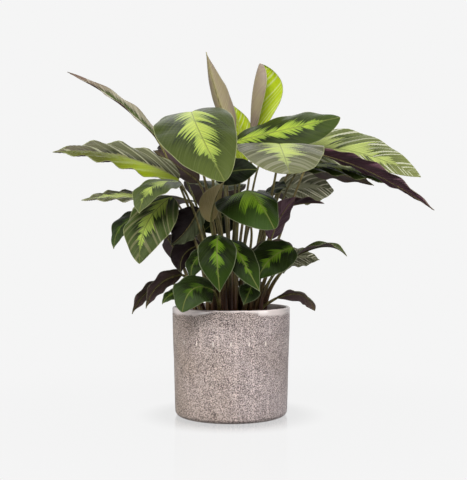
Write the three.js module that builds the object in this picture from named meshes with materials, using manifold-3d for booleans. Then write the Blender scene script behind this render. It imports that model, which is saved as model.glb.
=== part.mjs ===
// A potted calathea: a clump of patterned leaves on long stalks, in a grow pot inside a round
// ceramic cover pot. Units are millimetres, +Z is up, the plant's front faces -Y, and the origin
// is the centre of the cover pot's foot, on the surface that it stands on.
import * as THREE from 'three';
import Module from 'manifold-3d';
import { mergeVertices } from 'three/addons/utils/BufferGeometryUtils.js';

const wasm = await Module();
wasm.setup();

// ---------------------------------------------------------------- driving sizes
const COVER_POT = {
  rimRadius: 100,
  footRadius: 95,
  height: 183,
  wall: 6,
  floor: 8,
  footRounding: 9,
  lipRounding: 2.6,
  sides: 40,
};
const GROW_POT = {
  rimRadius: 90,
  footRadius: 80,
  height: 164,
  wall: 1.6,
  rimWidth: 3.4,
  rimHeight: 8,
  standsAt: COVER_POT.floor + 0.3,
  drainHoles: 5,
  drainRadius: 6,
  drainCircle: 52,
  sides: 36,
};
const SOIL = {
  top: 163,
  mound: 5,
  gap: 0.3,
  rings: 5,
  sides: 30,
  holeDepth: 22,
  holeGap: 0.9,
};
const BLADE = {
  thickness: 0.9,
  ribThickness: 2.4,
  widestAt: 0.42,
  fullness: 0.58,
  point: 0.5,
  neckHalfWidth: 2.2,
  tipHalfWidth: 0.8,
  endTurn: 0.4,
  steps: 9,
  halfSteps: 2,
};
const STALK = {
  footRadius: 3.6,
  headRadius: 1.7,
  sides: 5,
  steps: 6,
  bareFoot: 2,
  kneeLength: 7,
  clumpRadius: 62,
  spacing: 11.2,
  lowLeafPull: 0.66,
  highLeafPull: 0.26,
  lowLeafHeight: 190,
  highLeafHeight: 450,
  relaxRounds: 120,
};

const COLOURS = {
  leaf: { color: 0x3c5a2c, roughness: 0.42, metalness: 0 },
  youngLeaf: { color: 0x9aa03c, roughness: 0.45, metalness: 0 },
  glaze: { color: 0x9b8c88, roughness: 0.38, metalness: 0 },
  growPot: { color: 0x1c1b1c, roughness: 0.6, metalness: 0 },
  soil: { color: 0x2c211b, roughness: 0.95, metalness: 0 },
};

// ---------------------------------------------------------------- the leaves
// base and tip are the ends of the blade's midrib, and arch is how far its middle stands off the
// straight line between them. face is where the upper side looks at the base, and faceTip where
// it looks at the tip, if the blade twists. The outline is width at its widest, at the share
// widestAt of the length; a small fullness makes it blunt, and point draws out its tip; halves
// scales the left and right halves. fold and curl are the angles, in degrees, at which the two
// halves leave the midrib and then bend: plus lifts a half towards the upper side. wave is the
// height of the ripples at the margin and waves their number. sway bends the stalk, rise is how
// far it stands upright and nod how far it follows the blade.
const LEAVES = {
  // young leaves, still partly rolled
  spear_left: {
    base: [2, 10, 474], tip: [-43, 10, 618], arch: [-4, 0, 0], width: 74, point: 0.9,
    face: [0.3, 1, 0.1], fold: [20, 20], curl: [95, 95], young: true,
  },
  spear_right: {
    base: [37, 44, 446], tip: [50, 40, 604], arch: [-7, 0, 4], width: 92, fullness: 0.5,
    halves: [0.92, 1.14], widestAt: 0.7, point: 0,
    face: [0.6, -0.6, 0], fold: [20, 30], curl: [120, 50], sway: [-6, 0, 0], young: true,
  },
  spear_low: {
    base: [16, 66, 418], tip: [4, 72, 535], arch: [6, 0, 0], width: 52,
    widestAt: 0.55, face: [0.2, -1, 0.1], fold: [20, 20], curl: [40, 40], young: true,
  },
  // the crown
  crown_front_left: {
    base: [-66, -30, 510], tip: [-9, -215, 382], arch: [-9, -12, 13], width: 144,
    halves: [0.84, 0.96], widestAt: 0.36, fullness: 0.48, point: 0.1,
    face: [0.34, -0.46, 0.82], fold: [56, -14], curl: [-50, -22], wave: 1.5,
  },
  crown_front: {
    base: [78, -66, 452], tip: [87, -215, 393], arch: [-4, 0, 14], width: 136,
    widestAt: 0.4, fullness: 0.4, point: 0, sway: [14, 12, 0],
    face: [-0.04, -0.3, 0.95], fold: [2, 8], curl: [-12, -12], wave: 2,
  },
  crown_right: {
    base: [4, -15, 462], tip: [181, -38, 500], arch: [4, -14, 0], width: 102, halves: [0.96, 0.8],
    widestAt: 0.5, fullness: 0.36, point: 0.3,
    face: [-0.25, -0.8, 0.55], fold: [-8, -4], curl: [-24, -16], wave: 2,
  },
  crown_far_left: {
    base: [-128, 14, 473], tip: [-279, 0, 582], arch: [5, 0, 8], width: 56, widestAt: 0.36,
    halves: [1, 0.72], face: [0.5, -0.4, 0.77], fold: [16, 14], curl: [6, 6], wave: 2,
    sway: [0, 22, 0],
  },
  side_left: {
    base: [-88, -10, 399], tip: [-296, -40, 442], arch: [0, 0, 17], width: 92, widestAt: 0.34,
    point: 0.35, face: [0, -0.52, 0.86],
    fold: [5, 3], curl: [0, 4], wave: 4, waves: 5, young: true,
  },
  side_right: {
    base: [125, 30, 456], tip: [322, -4, 403], arch: [-4, 0, 16], width: 112,
    fullness: 0.45, point: 0.3, widestAt: 0.36, halves: [1, 0.74], sway: [10, 0, 0],
    face: [0, -0.7, 0.7], fold: [6, 4], curl: [-10, -10], wave: 2, waves: 4,
  },
  side_right_folded: {
    base: [138, -28, 443], tip: [334, -54, 345], arch: [0, 0, 13], width: 52, halves: [0.8, 1],
    face: [0.15, 0, 1], fold: [-10, 28], curl: [0, 10], wave: 3, waves: 5, sway: [28, 0, 0],
  },
  side_right_under: {
    base: [118, 34, 422], tip: [272, 14, 392], arch: [0, 0, 14], width: 64, halves: [1, 0.8],
    face: [0, -0.5, 0.87], fold: [0, -4], curl: [-8, -10], wave: 4, waves: 4, sway: [8, 0, 0],
  },
  // the left side
  left_striped: {
    base: [-137, -10, 369], tip: [-245, -60, 361], arch: [0, 0, 5], width: 60, widestAt: 0.34,
    halves: [1.24, 1],
    face: [0, -0.4, 0.92], fold: [6, 0], curl: [-6, -6], wave: 3, waves: 4, sway: [0, 3, 0],
  },
  left_small: {
    base: [-86, -62, 392], tip: [-144, -120, 338], arch: [-12, -6, 14], width: 72, fullness: 0.45,
    face: [-0.35, -0.55, 0.75], fold: [4, 4], curl: [-16, -16], wave: 2,
  },
  left_large: {
    base: [-98, -44, 368], tip: [-146, -96, 258], arch: [-14, -14, 8], width: 86, point: 0.2,
    face: [-0.45, -0.85, 0.4], fold: [-8, 4], curl: [-22, -12], wave: 3,
  },
  left_behind: {
    base: [-138, -20, 338], tip: [-196, -30, 281], arch: [-14, -4, 12], width: 58,
    face: [-0.5, -0.6, 0.6], fold: [4, 4], curl: [-14, -14], wave: 2,
  },
  // the middle
  centre: {
    base: [14, -50, 362], tip: [66, -165, 313], arch: [-8, 0, 34], width: 96,
    halves: [0.74, 1.28], widestAt: 0.5, fullness: 0.42, point: 0.1,
    face: [0.3, -0.5, 0.8], fold: [6, -28], curl: [-12, -12], wave: 2,
  },
  centre_behind: {
    base: [58, 12, 372], tip: [94, -14, 384], arch: [0, 0, 6], width: 44,
    face: [-0.2, -0.6, 0.8], fold: [6, 6], curl: [-16, -16], wave: 2, sway: [16, 0, 0],
  },
  centre_curled: {
    base: [-33, -62, 325], tip: [-11, -80, 390], arch: [-5, 0, 0], width: 52,
    halves: [0.4, 1], widestAt: 0.4, fullness: 0.75,
    face: [0.2, 0.9, 0.2], fold: [10, 10], curl: [10, 10],
  },
  centre_upper: {
    base: [-30, -17, 403], tip: [46, -24, 414], arch: [0, 0, 4], width: 48, fullness: 0.45,
    face: [0, -1, 0.15], fold: [0, 0], curl: [-12, -12], wave: 1.5, sway: [12, 0, 0],
  },
  centre_back: {
    base: [8, 90, 350], tip: [-52, 92, 310], arch: [0, 0, 4], width: 60, fullness: 0.4,
    face: [0.1, -0.95, 0.2], fold: [0, 0], curl: [-10, -10], wave: 2, sway: [14, 0, 0], nod: 1.3,
  },
  centre_upright: {
    base: [66, -40, 298], tip: [108, -36, 368], arch: [-4, 0, 4], width: 44,
    face: [-0.5, 0.8, 0.2], fold: [10, 10], curl: [10, 20], wave: 2,
  },
  right_folded: {
    base: [90, 2, 352], tip: [158, -4, 358], arch: [0, 0, 4], width: 40,
    face: [0, 0.1, 1], fold: [10, 20], curl: [10, 10], wave: 2,
  },
  right_striped: {
    base: [84, 48, 385], tip: [182, 66, 384], arch: [0, 0, 8], width: 78, point: 0.1,
    halves: [0.86, 1.16],
    face: [0.1, -0.75, 0.66], fold: [4, 4], curl: [-10, -10], wave: 3, waves: 4, sway: [10, 0, 0],
  },
  // low in the middle
  low_front_left: {
    base: [-20, -104, 304], tip: [-17, -156, 216], arch: [-3, -16, 12], width: 62, fullness: 0.42,
    face: [0, -0.9, 0.4], fold: [0, 0], curl: [-18, -18], wave: 1,
  },
  low_front_right: {
    base: [0, -76, 296], tip: [45, -130, 216], arch: [-4, -10, 8], width: 50, fullness: 0.42,
    face: [0.2, -0.9, 0.4], fold: [0, 0], curl: [-18, -18], wave: 1,
  },
  low_right: {
    base: [101, -56, 284], tip: [42, -104, 232], arch: [-8, -12, 8], width: 64, fullness: 0.45,
    face: [0.1, -0.8, 0.6], fold: [6, 6], curl: [-14, -14], wave: 2, sway: [-14, 0, 0],
  },
  low_right_behind: {
    base: [102, -38, 280], tip: [28, -56, 278], arch: [0, 0, 5], width: 36,
    face: [0, 0.8, 0.6], fold: [6, 6], curl: [-14, -14], wave: 2, nod: 1, rise: 0.6,
  },
  low_far_right: {
    base: [96, -14, 262], tip: [192, -40, 269], arch: [10, 0, 20], width: 44,
    face: [0.1, -0.2, 1], fold: [18, 24], curl: [-10, -10], wave: 2, rise: 0.6, nod: 1,
  },
  low_striped_right: {
    base: [84, 10, 262], tip: [152, 16, 262], arch: [0, 0, 5], width: 46,
    face: [0, -0.7, 0.7], fold: [4, 4], curl: [-10, -10], wave: 2, waves: 4, rise: 0.6, nod: 1,
  },
  low_dark_upper: {
    base: [-54, -32, 350], tip: [-100, -44, 288], arch: [4, 0, -4], width: 56,
    halves: [1.1, 0.8], face: [-0.15, 0.95, 0.15], fold: [4, 4], curl: [16, 16],
    wave: 3, waves: 5, sway: [16, 0, 0], nod: 1.4,
  },
  low_dark_lower: {
    base: [-52, -13, 289], tip: [-84, -27, 241], arch: [-12, 0, 6], width: 50,
    face: [-0.4, 0.8, 0.4], fold: [4, 4], curl: [10, 10], wave: 1,
  },
  purple_left: {
    base: [-56, 24, 398], tip: [-136, 40, 452], arch: [-4, 0, 4], width: 50,
    face: [0.4, 0.8, 0.5], fold: [6, 6], curl: [10, 10], wave: 2,
  },
  // just over the rim
  rim_right: {
    base: [75, -30, 199], tip: [137, -60, 180], arch: [10, -4, 17], width: 44, widestAt: 0.56,
    point: 0.2,
    face: [0.3, 0.5, 0.8], fold: [-6, -10], curl: [-14, -14], wave: 1.5,
  },
  rim_left_near: {
    base: [-84, 2, 238], tip: [-142, -34, 182], arch: [-10, 0, 10], width: 46,
    face: [-0.5, 0.6, 0.6], fold: [4, 4], curl: [-10, -10], wave: 2,
  },
  rim_left_far: {
    base: [-104, 18, 224], tip: [-169, 2, 170], arch: [-8, 0, 10], width: 38,
    face: [-0.5, 0.6, 0.6], fold: [4, 4], curl: [-10, -10], wave: 2,
  },
  rim_left_upper: {
    base: [-32, -47, 279], tip: [-64, -60, 230], arch: [-12, -6, 6], width: 48, halves: [1, 0.8],
    face: [-0.5, -0.8, 0.3], fold: [0, 0], curl: [-14, -14], wave: 1.5,
  },
  rim_left_lower: {
    base: [-28, -72, 214], tip: [-77, -116, 182], arch: [-8, -10, 20], width: 74,
    fullness: 0.42, point: 0.2,
    face: [-0.3, -0.8, 0.5], fold: [0, 0], curl: [-18, -18], wave: 2,
  },
  rim_left_dark: {
    base: [-77, -30, 210], tip: [-114, -46, 190], arch: [-4, 0, 6], width: 30,
    face: [-0.3, -0.6, 0.7], fold: [0, 0], curl: [-14, -14], wave: 1,
  },
  rim_centre: {
    base: [34, -66, 224], tip: [20, -90, 192], arch: [2, -6, 4], width: 36,
    face: [0.1, -0.9, 0.4], fold: [0, 0], curl: [-10, -10], wave: 1,
  },
  // the back
  back_high_left: {
    base: [-40, 60, 430], tip: [-110, 215, 440], arch: [-10, 0, 30], width: 110,
    face: [-0.1, 0.4, 0.9], fold: [4, 4], curl: [-12, -12], wave: 2,
  },
  back_high_right: {
    base: [52, 76, 440], tip: [114, 226, 425], arch: [10, 0, 30], width: 112,
    face: [0.1, 0.4, 0.9], fold: [4, 4], curl: [-12, -12], wave: 2,
  },
  back_upright: {
    base: [-10, 50, 420], tip: [-56, 190, 496], arch: [0, 10, 10], width: 84,
    face: [0, -0.4, 0.9], fold: [10, 10], curl: [10, 10], wave: 2,
  },
  back_middle: {
    base: [-24, 74, 385], tip: [-40, 240, 330], arch: [0, 0, 42], width: 116,
    face: [0, 0.5, 0.8], fold: [2, 2], curl: [-12, -12], wave: 2,
  },
  back_side_left: {
    base: [-90, 66, 420], tip: [-240, 136, 455], arch: [0, 0, 8], width: 70,
    face: [0, 0.3, 0.95], fold: [6, 6], curl: [4, 4], wave: 3, waves: 4,
  },
  back_side_right: {
    base: [106, 84, 420], tip: [266, 150, 398], arch: [0, 0, 10], width: 66,
    face: [0, 0.35, 0.94], fold: [4, 4], curl: [-4, -4], wave: 3, waves: 4,
  },
  back_left: {
    base: [-70, 60, 365], tip: [-150, 200, 340], arch: [-8, 0, 18], width: 84,
    face: [-0.2, 0.5, 0.8], fold: [4, 4], curl: [-12, -12], wave: 2,
  },
  back_right: {
    base: [56, 74, 376], tip: [112, 212, 366], arch: [8, 0, 16], width: 76,
    face: [0.2, 0.4, 0.9], fold: [4, 4], curl: [-12, -12], wave: 2, sway: [-13, 0, 0],
  },
  back_low_left: {
    base: [-50, 60, 300], tip: [-112, 175, 256], arch: [-10, 0, 20], width: 74,
    face: [-0.3, 0.6, 0.7], fold: [4, 4], curl: [-14, -14], wave: 2,
  },
  back_low_middle: {
    base: [-12, 80, 276], tip: [-20, 225, 226], arch: [0, 0, 20], width: 80,
    face: [0, 0.5, 0.85], fold: [4, 4], curl: [-14, -14], wave: 2,
  },
  back_low_right: {
    base: [50, 66, 268], tip: [100, 195, 232], arch: [8, 0, 16], width: 70,
    face: [0.3, 0.5, 0.8], fold: [4, 4], curl: [-14, -14], wave: 2,
  },
  back_rim_left: {
    base: [-40, 72, 220], tip: [-84, 170, 192], arch: [-8, 0, 16], width: 56,
    face: [-0.3, 0.6, 0.7], fold: [4, 4], curl: [-12, -12], wave: 1.5,
  },
  back_rim_right: {
    base: [20, 74, 214], tip: [42, 170, 190], arch: [4, 0, 16], width: 52,
    face: [0.2, 0.6, 0.7], fold: [4, 4], curl: [-12, -12], wave: 1.5,
  },
};

// ---------------------------------------------------------------- small geometry helpers
const vec = (list) => new THREE.Vector3(...list);
const radians = THREE.MathUtils.degToRad;

// A closed mesh from points and triangle corners, as a three.js geometry.
function meshOf(points, corners) {
  const geometry = new THREE.BufferGeometry();
  const flat = points.flatMap((p) => [p.x, p.y, p.z]);
  geometry.setAttribute('position', new THREE.Float32BufferAttribute(flat, 3));
  geometry.setIndex(corners);
  return geometry;
}

// A geometry as a solid that can be joined and cut.
function solidOf(geometry) {
  const bare = geometry.clone();
  bare.deleteAttribute('normal');
  bare.deleteAttribute('uv');
  const merged = mergeVertices(bare, 1e-4);
  return new wasm.Manifold(new wasm.Mesh({
    numProp: 3,
    vertProperties: merged.attributes.position.array,
    triVerts: new Uint32Array(merged.index.array),
  }));
}

// A solid as a three.js geometry.
function geometryOf(solid) {
  const mesh = solid.getMesh();
  const geometry = new THREE.BufferGeometry();
  geometry.setAttribute('position', new THREE.BufferAttribute(mesh.vertProperties, 3));
  geometry.setIndex(new THREE.BufferAttribute(mesh.triVerts, 1));
  geometry.computeVertexNormals();
  return geometry;
}

// The quarter turn of a rounded corner, from the direction at one angle to that at another.
function corner(centre, radius, fromDegrees, toDegrees, steps) {
  return Array.from({ length: steps + 1 }, (_, i) => {
    const angle = radians(fromDegrees + ((toDegrees - fromDegrees) * i) / steps);
    return new THREE.Vector2(
      centre.x + radius * Math.cos(angle),
      centre.y + radius * Math.sin(angle),
    );
  });
}

// ---------------------------------------------------------------- blades
// The midrib at s, from 0 at the base to 1 at the tip.
function midrib(leaf, s) {
  const base = vec(leaf.base);
  const tip = vec(leaf.tip);
  const bend = base.clone().add(tip).multiplyScalar(0.5).addScaledVector(vec(leaf.arch), 2);
  const point = base.clone().multiplyScalar((1 - s) ** 2)
    .addScaledVector(bend, 2 * s * (1 - s))
    .addScaledVector(tip, s * s);
  const along = bend.clone().sub(base).multiplyScalar(1 - s)
    .addScaledVector(tip.clone().sub(bend), s)
    .normalize();
  return { point, along };
}

// The half width of the outline at s: full and round at the base, drawn to a point at the tip.
function halfWidth(leaf, s) {
  const power = Math.log(0.5) / Math.log(leaf.widestAt ?? BLADE.widestAt);
  const fullness = (leaf.fullness ?? BLADE.fullness) + (leaf.point ?? BLADE.point) * s * s;
  const round = (leaf.width / 2) * Math.max(Math.sin(Math.PI * s ** power), 0) ** fullness;
  return Math.max(round, THREE.MathUtils.lerp(BLADE.neckHalfWidth, BLADE.tipHalfWidth, s));
}

// The blade's own directions at s: along the midrib, up out of its upper side, and to the right.
function bladeFrame(leaf, s) {
  const { point, along } = midrib(leaf, s);
  const face = vec(leaf.face).lerp(vec(leaf.faceTip ?? leaf.face), s);
  const up = face.addScaledVector(along, -face.dot(along)).normalize();
  const side = along.clone().cross(up);
  return { point, along, up, side };
}

// A point of the blade's upper surface. t runs from -1 at the left margin to 1 at the right.
function bladePoint(leaf, s, t) {
  const { point, up, side } = bladeFrame(leaf, s);
  const half = t < 0 ? 0 : 1;
  const reach = Math.abs(t);
  const fold = radians(leaf.fold[half]);
  const curl = radians(leaf.curl[half]) || 1e-6;
  const angle = fold + curl * reach;
  const width = halfWidth(leaf, s) * (leaf.halves ?? [1, 1])[half];
  const out = (width * (Math.sin(angle) - Math.sin(fold))) / curl;
  const lift = (width * (Math.cos(fold) - Math.cos(angle))) / curl;
  const phase = 2 * Math.PI * ((leaf.waves ?? 3) * (s - 0.3 * reach)) + half * 1.7;
  const ripple = (leaf.wave ?? 0) * Math.sin(phase) * reach ** 2 * Math.sin(Math.PI * s) ** 0.5;
  return point
    .addScaledVector(side, Math.sign(t) * (out - ripple * Math.sin(angle)))
    .addScaledVector(up, lift + ripple * Math.cos(angle));
}

// The unit normal of the upper surface at s and t.
function bladeNormal(leaf, s, t) {
  const tiny = 1e-3;
  const ahead = bladePoint(leaf, Math.min(s + tiny, 1), t)
    .sub(bladePoint(leaf, Math.max(s - tiny, 0), t));
  const aside = bladePoint(leaf, s, Math.min(t + tiny, 1))
    .sub(bladePoint(leaf, s, Math.max(t - tiny, -1)));
  return aside.cross(ahead).normalize();
}

// How thick the blade is: thin, with a rib under the midrib that fades towards the tip.
function bladeThickness(s, t) {
  const rib = (BLADE.ribThickness - BLADE.thickness) * (1 - s) * Math.max(1 - 2 * Math.abs(t), 0);
  return BLADE.thickness + rib;
}

// ---------------------------------------------------------------- stalks
// Where each stalk stands in the soil: under its blade, pulled in to the clump, the high leaves'
// stalks the most, and then pushed apart until no two stand closer than the spacing.
function stalkFeet(leaves) {
  const feet = leaves.map((leaf) => {
    const [x, y, z] = leaf.base;
    const { lowLeafHeight, highLeafHeight, lowLeafPull, highLeafPull } = STALK;
    const pull = THREE.MathUtils.mapLinear(
      z, lowLeafHeight, highLeafHeight, lowLeafPull, highLeafPull,
    );
    return new THREE.Vector2(x, y).multiplyScalar(pull);
  });
  for (let round = 0; round < STALK.relaxRounds; round += 1) {
    for (let a = 0; a < feet.length; a += 1) {
      for (let b = a + 1; b < feet.length; b += 1) {
        const apart = feet[b].clone().sub(feet[a]);
        const short = STALK.spacing - apart.length();
        if (short > 0) {
          apart.setLength(short / 2);
          feet[b].add(apart);
          feet[a].sub(apart);
        }
      }
    }
    feet.forEach((foot) => foot.clampLength(0, STALK.clumpRadius));
  }
  return feet;
}

// The stalk's centre line above the soil: straight up at first, leaning out, then into the blade.
function stalkPath(leaf, foot) {
  const start = new THREE.Vector3(foot.x, foot.y, SOIL.top + SOIL.mound + STALK.bareFoot);
  const { point: end, along } = midrib(leaf, 0);
  const span = end.clone().sub(start);
  const reach = span.length();
  const arrive = along.clone().multiplyScalar(leaf.nod ?? 0.5);
  arrive.addScaledVector(span.normalize(), 0.8).normalize();
  const sway = vec(leaf.sway ?? [0, 0, 0]);
  return new THREE.CubicBezierCurve3(
    start,
    start.clone().add(new THREE.Vector3(0, 0, reach * (leaf.rise ?? 0.3))).add(sway),
    end.clone().addScaledVector(arrive, -reach * 0.25).add(sway),
    end,
  );
}

// The rings of a tapering tube from the knee behind the blade's base down to the stalk's foot.
// Each ring starts on the blade's right and turns over its upper side.
function stalkRings(leaf, foot) {
  const path = stalkPath(leaf, foot);
  const centres = path.getPoints(STALK.steps).reverse();
  const { point: base, along: onward } = midrib(leaf, 0);
  const knee = path.getTangent(1).add(onward).normalize();
  const kneeLength = Math.min(STALK.kneeLength, 0.6 * centres[1].distanceTo(base));
  centres[0] = base.addScaledVector(knee, -kneeLength);
  centres.push(new THREE.Vector3(foot.x, foot.y, SOIL.top - SOIL.holeDepth + 2));
  const across = bladeFrame(leaf, 0).side;
  return centres.map((centre, i) => {
    const above = centres[i - 1] ?? centre.clone().add(knee);
    const below = centres[i + 1] ?? centre;
    const along = above.clone().sub(below).normalize();
    across.addScaledVector(along, -across.dot(along)).normalize();
    const other = across.clone().cross(along).negate();
    const share = Math.min(i / STALK.steps, 1) ** 1.2;
    const radius = THREE.MathUtils.lerp(STALK.headRadius, STALK.footRadius, share);
    return Array.from({ length: STALK.sides }, (_, k) => {
      const turn = (2 * Math.PI * (k + 0.5)) / STALK.sides;
      return centre.clone()
        .addScaledVector(across, radius * Math.cos(turn))
        .addScaledVector(other, -radius * Math.sin(turn));
    });
  });
}

// ---------------------------------------------------------------- whole leaves
// The triangles between two rings of points that turn the same way, whatever their counts.
function bridge(first, second) {
  const corners = [];
  let a = 0;
  let b = 0;
  while (a < first.length || b < second.length) {
    const p = first[a % first.length];
    const q = second[b % second.length];
    if ((a + 1) / first.length <= (b + 1) / second.length) {
      a += 1;
      corners.push(p, first[a % first.length], q);
    } else {
      b += 1;
      corners.push(p, second[b % second.length], q);
    }
  }
  return corners;
}

// A leaf as one closed solid: the blade, split into triangles alike on both faces, and its stalk.
// At its narrow ends the blade's underside turns less than its upper side, or it would cross itself.
function leafGeometry(leaf, foot) {
  const steps = leaf.steps ?? BLADE.steps;
  const across = 2 * (leaf.halfSteps ?? BLADE.halfSteps);
  const row = across + 1;
  const count = row * (steps + 1);
  const above = [];
  const below = [];
  for (let i = 0; i <= steps; i += 1) {
    for (let j = 0; j <= across; j += 1) {
      const s = i / steps;
      const t = (2 * j) / across - 1;
      const point = bladePoint(leaf, s, t);
      const normal = bladeNormal(leaf, s, i === 0 || i === steps ? t * BLADE.endTurn : t);
      above.push(point);
      below.push(point.clone().addScaledVector(normal, -bladeThickness(s, t)));
    }
  }
  const corners = [];
  const quad = (a, b, c, d) => corners.push(a, b, c, a, c, d);
  for (let i = 0; i < steps; i += 1) {
    for (let j = 0; j < across; j += 1) {
      const at = i * row + j;
      quad(at, at + 1, at + 1 + row, at + row);
      const under = at + count;
      corners.push(under, under + 1 + row, under + 1, under, under + row, under + 1 + row);
    }
    const left = i * row;
    quad(left, left + row, left + row + count, left + count);
    const right = left + across;
    quad(right, right + count, right + row + count, right + row);
  }
  for (let j = 0; j < across; j += 1) {
    const end = steps * row + j;
    quad(end, end + 1, end + 1 + count, end + count);
  }
  const rings = stalkRings(leaf, foot);
  const ringCorners = rings.map((ring, i) => (
    ring.map((_, k) => 2 * count + i * STALK.sides + k)
  ));
  const neck = Array.from({ length: row }, (_, j) => across - j);
  neck.push(...Array.from({ length: row }, (_, j) => count + j));
  corners.push(...bridge(neck, ringCorners[0]));
  for (let i = 1; i < rings.length; i += 1) {
    corners.push(...bridge(ringCorners[i - 1], ringCorners[i]));
  }
  const last = ringCorners.at(-1);
  for (let k = 1; k < last.length - 1; k += 1) {
    corners.push(last[0], last[k], last[k + 1]);
  }
  return meshOf([...above, ...below, ...rings.flat()], corners);
}

// ---------------------------------------------------------------- pots and soil
function coverPotGeometry() {
  const { rimRadius, footRadius, height, wall, floor, footRounding, lipRounding } = COVER_POT;
  const lip = rimRadius - lipRounding;
  const inner = rimRadius - wall;
  const profile = [
    new THREE.Vector2(0, 0),
    ...corner(new THREE.Vector2(footRadius - footRounding, footRounding), footRounding, -90, 0, 3),
    ...corner(new THREE.Vector2(lip, height - lipRounding), lipRounding, 0, 90, 2),
    ...corner(new THREE.Vector2(inner + lipRounding, height - lipRounding), lipRounding, 90, 180, 2),
    new THREE.Vector2(footRadius - wall, floor + 4),
    new THREE.Vector2(footRadius - wall - 4, floor),
    new THREE.Vector2(0, floor),
  ];
  return new THREE.LatheGeometry(profile, COVER_POT.sides).rotateX(Math.PI / 2);
}

function growPotGeometry() {
  const { rimRadius, footRadius, height, wall, rimWidth, rimHeight, standsAt } = GROW_POT;
  const top = standsAt + height;
  const profile = [
    new THREE.Vector2(0, standsAt),
    new THREE.Vector2(footRadius, standsAt),
    new THREE.Vector2(rimRadius - rimWidth, top - rimHeight),
    new THREE.Vector2(rimRadius, top - rimHeight),
    new THREE.Vector2(rimRadius, top),
    new THREE.Vector2(rimRadius - rimWidth - wall, top),
    new THREE.Vector2(footRadius - wall, standsAt + wall),
    new THREE.Vector2(0, standsAt + wall),
  ];
  const shell = solidOf(new THREE.LatheGeometry(profile, GROW_POT.sides).rotateX(Math.PI / 2));
  let pot = shell;
  for (let k = 0; k < GROW_POT.drainHoles; k += 1) {
    const turn = (2 * Math.PI * k) / GROW_POT.drainHoles;
    const hole = new THREE.CylinderGeometry(GROW_POT.drainRadius, GROW_POT.drainRadius, 12, 8);
    hole.rotateX(Math.PI / 2);
    hole.translate(
      GROW_POT.drainCircle * Math.cos(turn),
      GROW_POT.drainCircle * Math.sin(turn),
      standsAt,
    );
    pot = pot.subtract(solidOf(hole));
  }
  return geometryOf(pot);
}

// The soil: it fills the grow pot, is mounded a little, and has a plain hole for each stalk.
function soilGeometry(feet) {
  const { standsAt, wall, rimRadius, footRadius, rimWidth, height } = GROW_POT;
  const bottom = standsAt + wall + SOIL.gap;
  const share = (SOIL.top - standsAt) / height;
  const below = footRadius - wall - SOIL.gap;
  const above = THREE.MathUtils.lerp(footRadius, rimRadius - rimWidth, share) - wall - SOIL.gap;
  const profile = [new THREE.Vector2(0, bottom), new THREE.Vector2(below - 0.5, bottom)];
  for (let i = 0; i <= SOIL.rings; i += 1) {
    const reach = 1 - i / SOIL.rings;
    const rise = SOIL.mound * (1 - reach * reach);
    profile.push(new THREE.Vector2((above - 0.6) * reach, SOIL.top + rise));
  }
  let soil = solidOf(new THREE.LatheGeometry(profile, SOIL.sides).rotateX(Math.PI / 2));
  const radius = STALK.footRadius + SOIL.holeGap;
  const holes = feet.map((foot) => {
    const hole = new THREE.CylinderGeometry(radius, radius, 2 * SOIL.holeDepth, 8);
    hole.rotateX(Math.PI / 2);
    hole.translate(foot.x, foot.y, SOIL.top);
    return solidOf(hole);
  });
  soil = holes.reduce((rest, hole) => rest.subtract(hole), soil);
  return geometryOf(soil);
}

// ---------------------------------------------------------------- the plant in its pots
function addPiece(group, name, geometry, colour) {
  const mesh = new THREE.Mesh(geometry, new THREE.MeshStandardMaterial(colour));
  mesh.name = name;
  group.add(mesh);
}

const plant = new THREE.Group();
addPiece(plant, 'cover_pot', coverPotGeometry(), COLOURS.glaze);
addPiece(plant, 'grow_pot', growPotGeometry(), COLOURS.growPot);

const leaves = Object.values(LEAVES);
const feet = stalkFeet(leaves);
addPiece(plant, 'soil', soilGeometry(feet), COLOURS.soil);
Object.keys(LEAVES).forEach((name, i) => {
  const colour = leaves[i].young ? COLOURS.youngLeaf : COLOURS.leaf;
  addPiece(plant, 'leaf_' + name, leafGeometry(leaves[i], feet[i]), colour);
});

export default plant;
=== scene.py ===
# %% [markdown]
# # A potted calathea
#
# This lesson dresses a plain model of a house plant. The plain model, the frame, holds every piece
# at its real size: a cover pot, a grow pot, soil and half a hundred leaves on stalks. Here each of
# them is given the form and the finish that the eye expects: thin pleated blades with a feathered
# lime middle and purple backs, stalks with sheaths, a pot with a mottled glaze, and crumbly mix.
#
# The frame is loaded first. The finished plant may not outgrow it.

# %% Load the frame
import math
import random
from functools import partial

import bmesh
import bpy
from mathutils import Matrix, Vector, noise


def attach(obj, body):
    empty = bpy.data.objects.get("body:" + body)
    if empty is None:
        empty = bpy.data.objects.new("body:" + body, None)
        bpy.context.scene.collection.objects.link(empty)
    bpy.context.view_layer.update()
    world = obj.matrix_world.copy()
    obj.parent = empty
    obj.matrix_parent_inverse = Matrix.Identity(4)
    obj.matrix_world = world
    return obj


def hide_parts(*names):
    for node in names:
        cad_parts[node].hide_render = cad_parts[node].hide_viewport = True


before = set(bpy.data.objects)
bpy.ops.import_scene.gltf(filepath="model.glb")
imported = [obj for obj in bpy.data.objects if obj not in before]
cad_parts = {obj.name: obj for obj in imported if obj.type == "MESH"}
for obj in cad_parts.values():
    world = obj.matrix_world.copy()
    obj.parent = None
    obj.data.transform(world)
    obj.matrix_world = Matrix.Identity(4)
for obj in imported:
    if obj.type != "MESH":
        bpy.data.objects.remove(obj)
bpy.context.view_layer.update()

MM = 0.001
scene = bpy.context.scene

# %% [markdown]
# ## The camera
#
# The plant is seen straight on, from a little above the pot's rim, with a long lens that keeps the
# pot's sides upright. The camera stands level, so its shift stays at nought. The picture is almost
# square, and a sensor of 36 mm lies along its longer side.

# %% Camera
CAMERA_AT_MM = Vector((3.9, -1550, 296))
LENS_MM = 68.3
SENSOR_MM = 36

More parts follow.
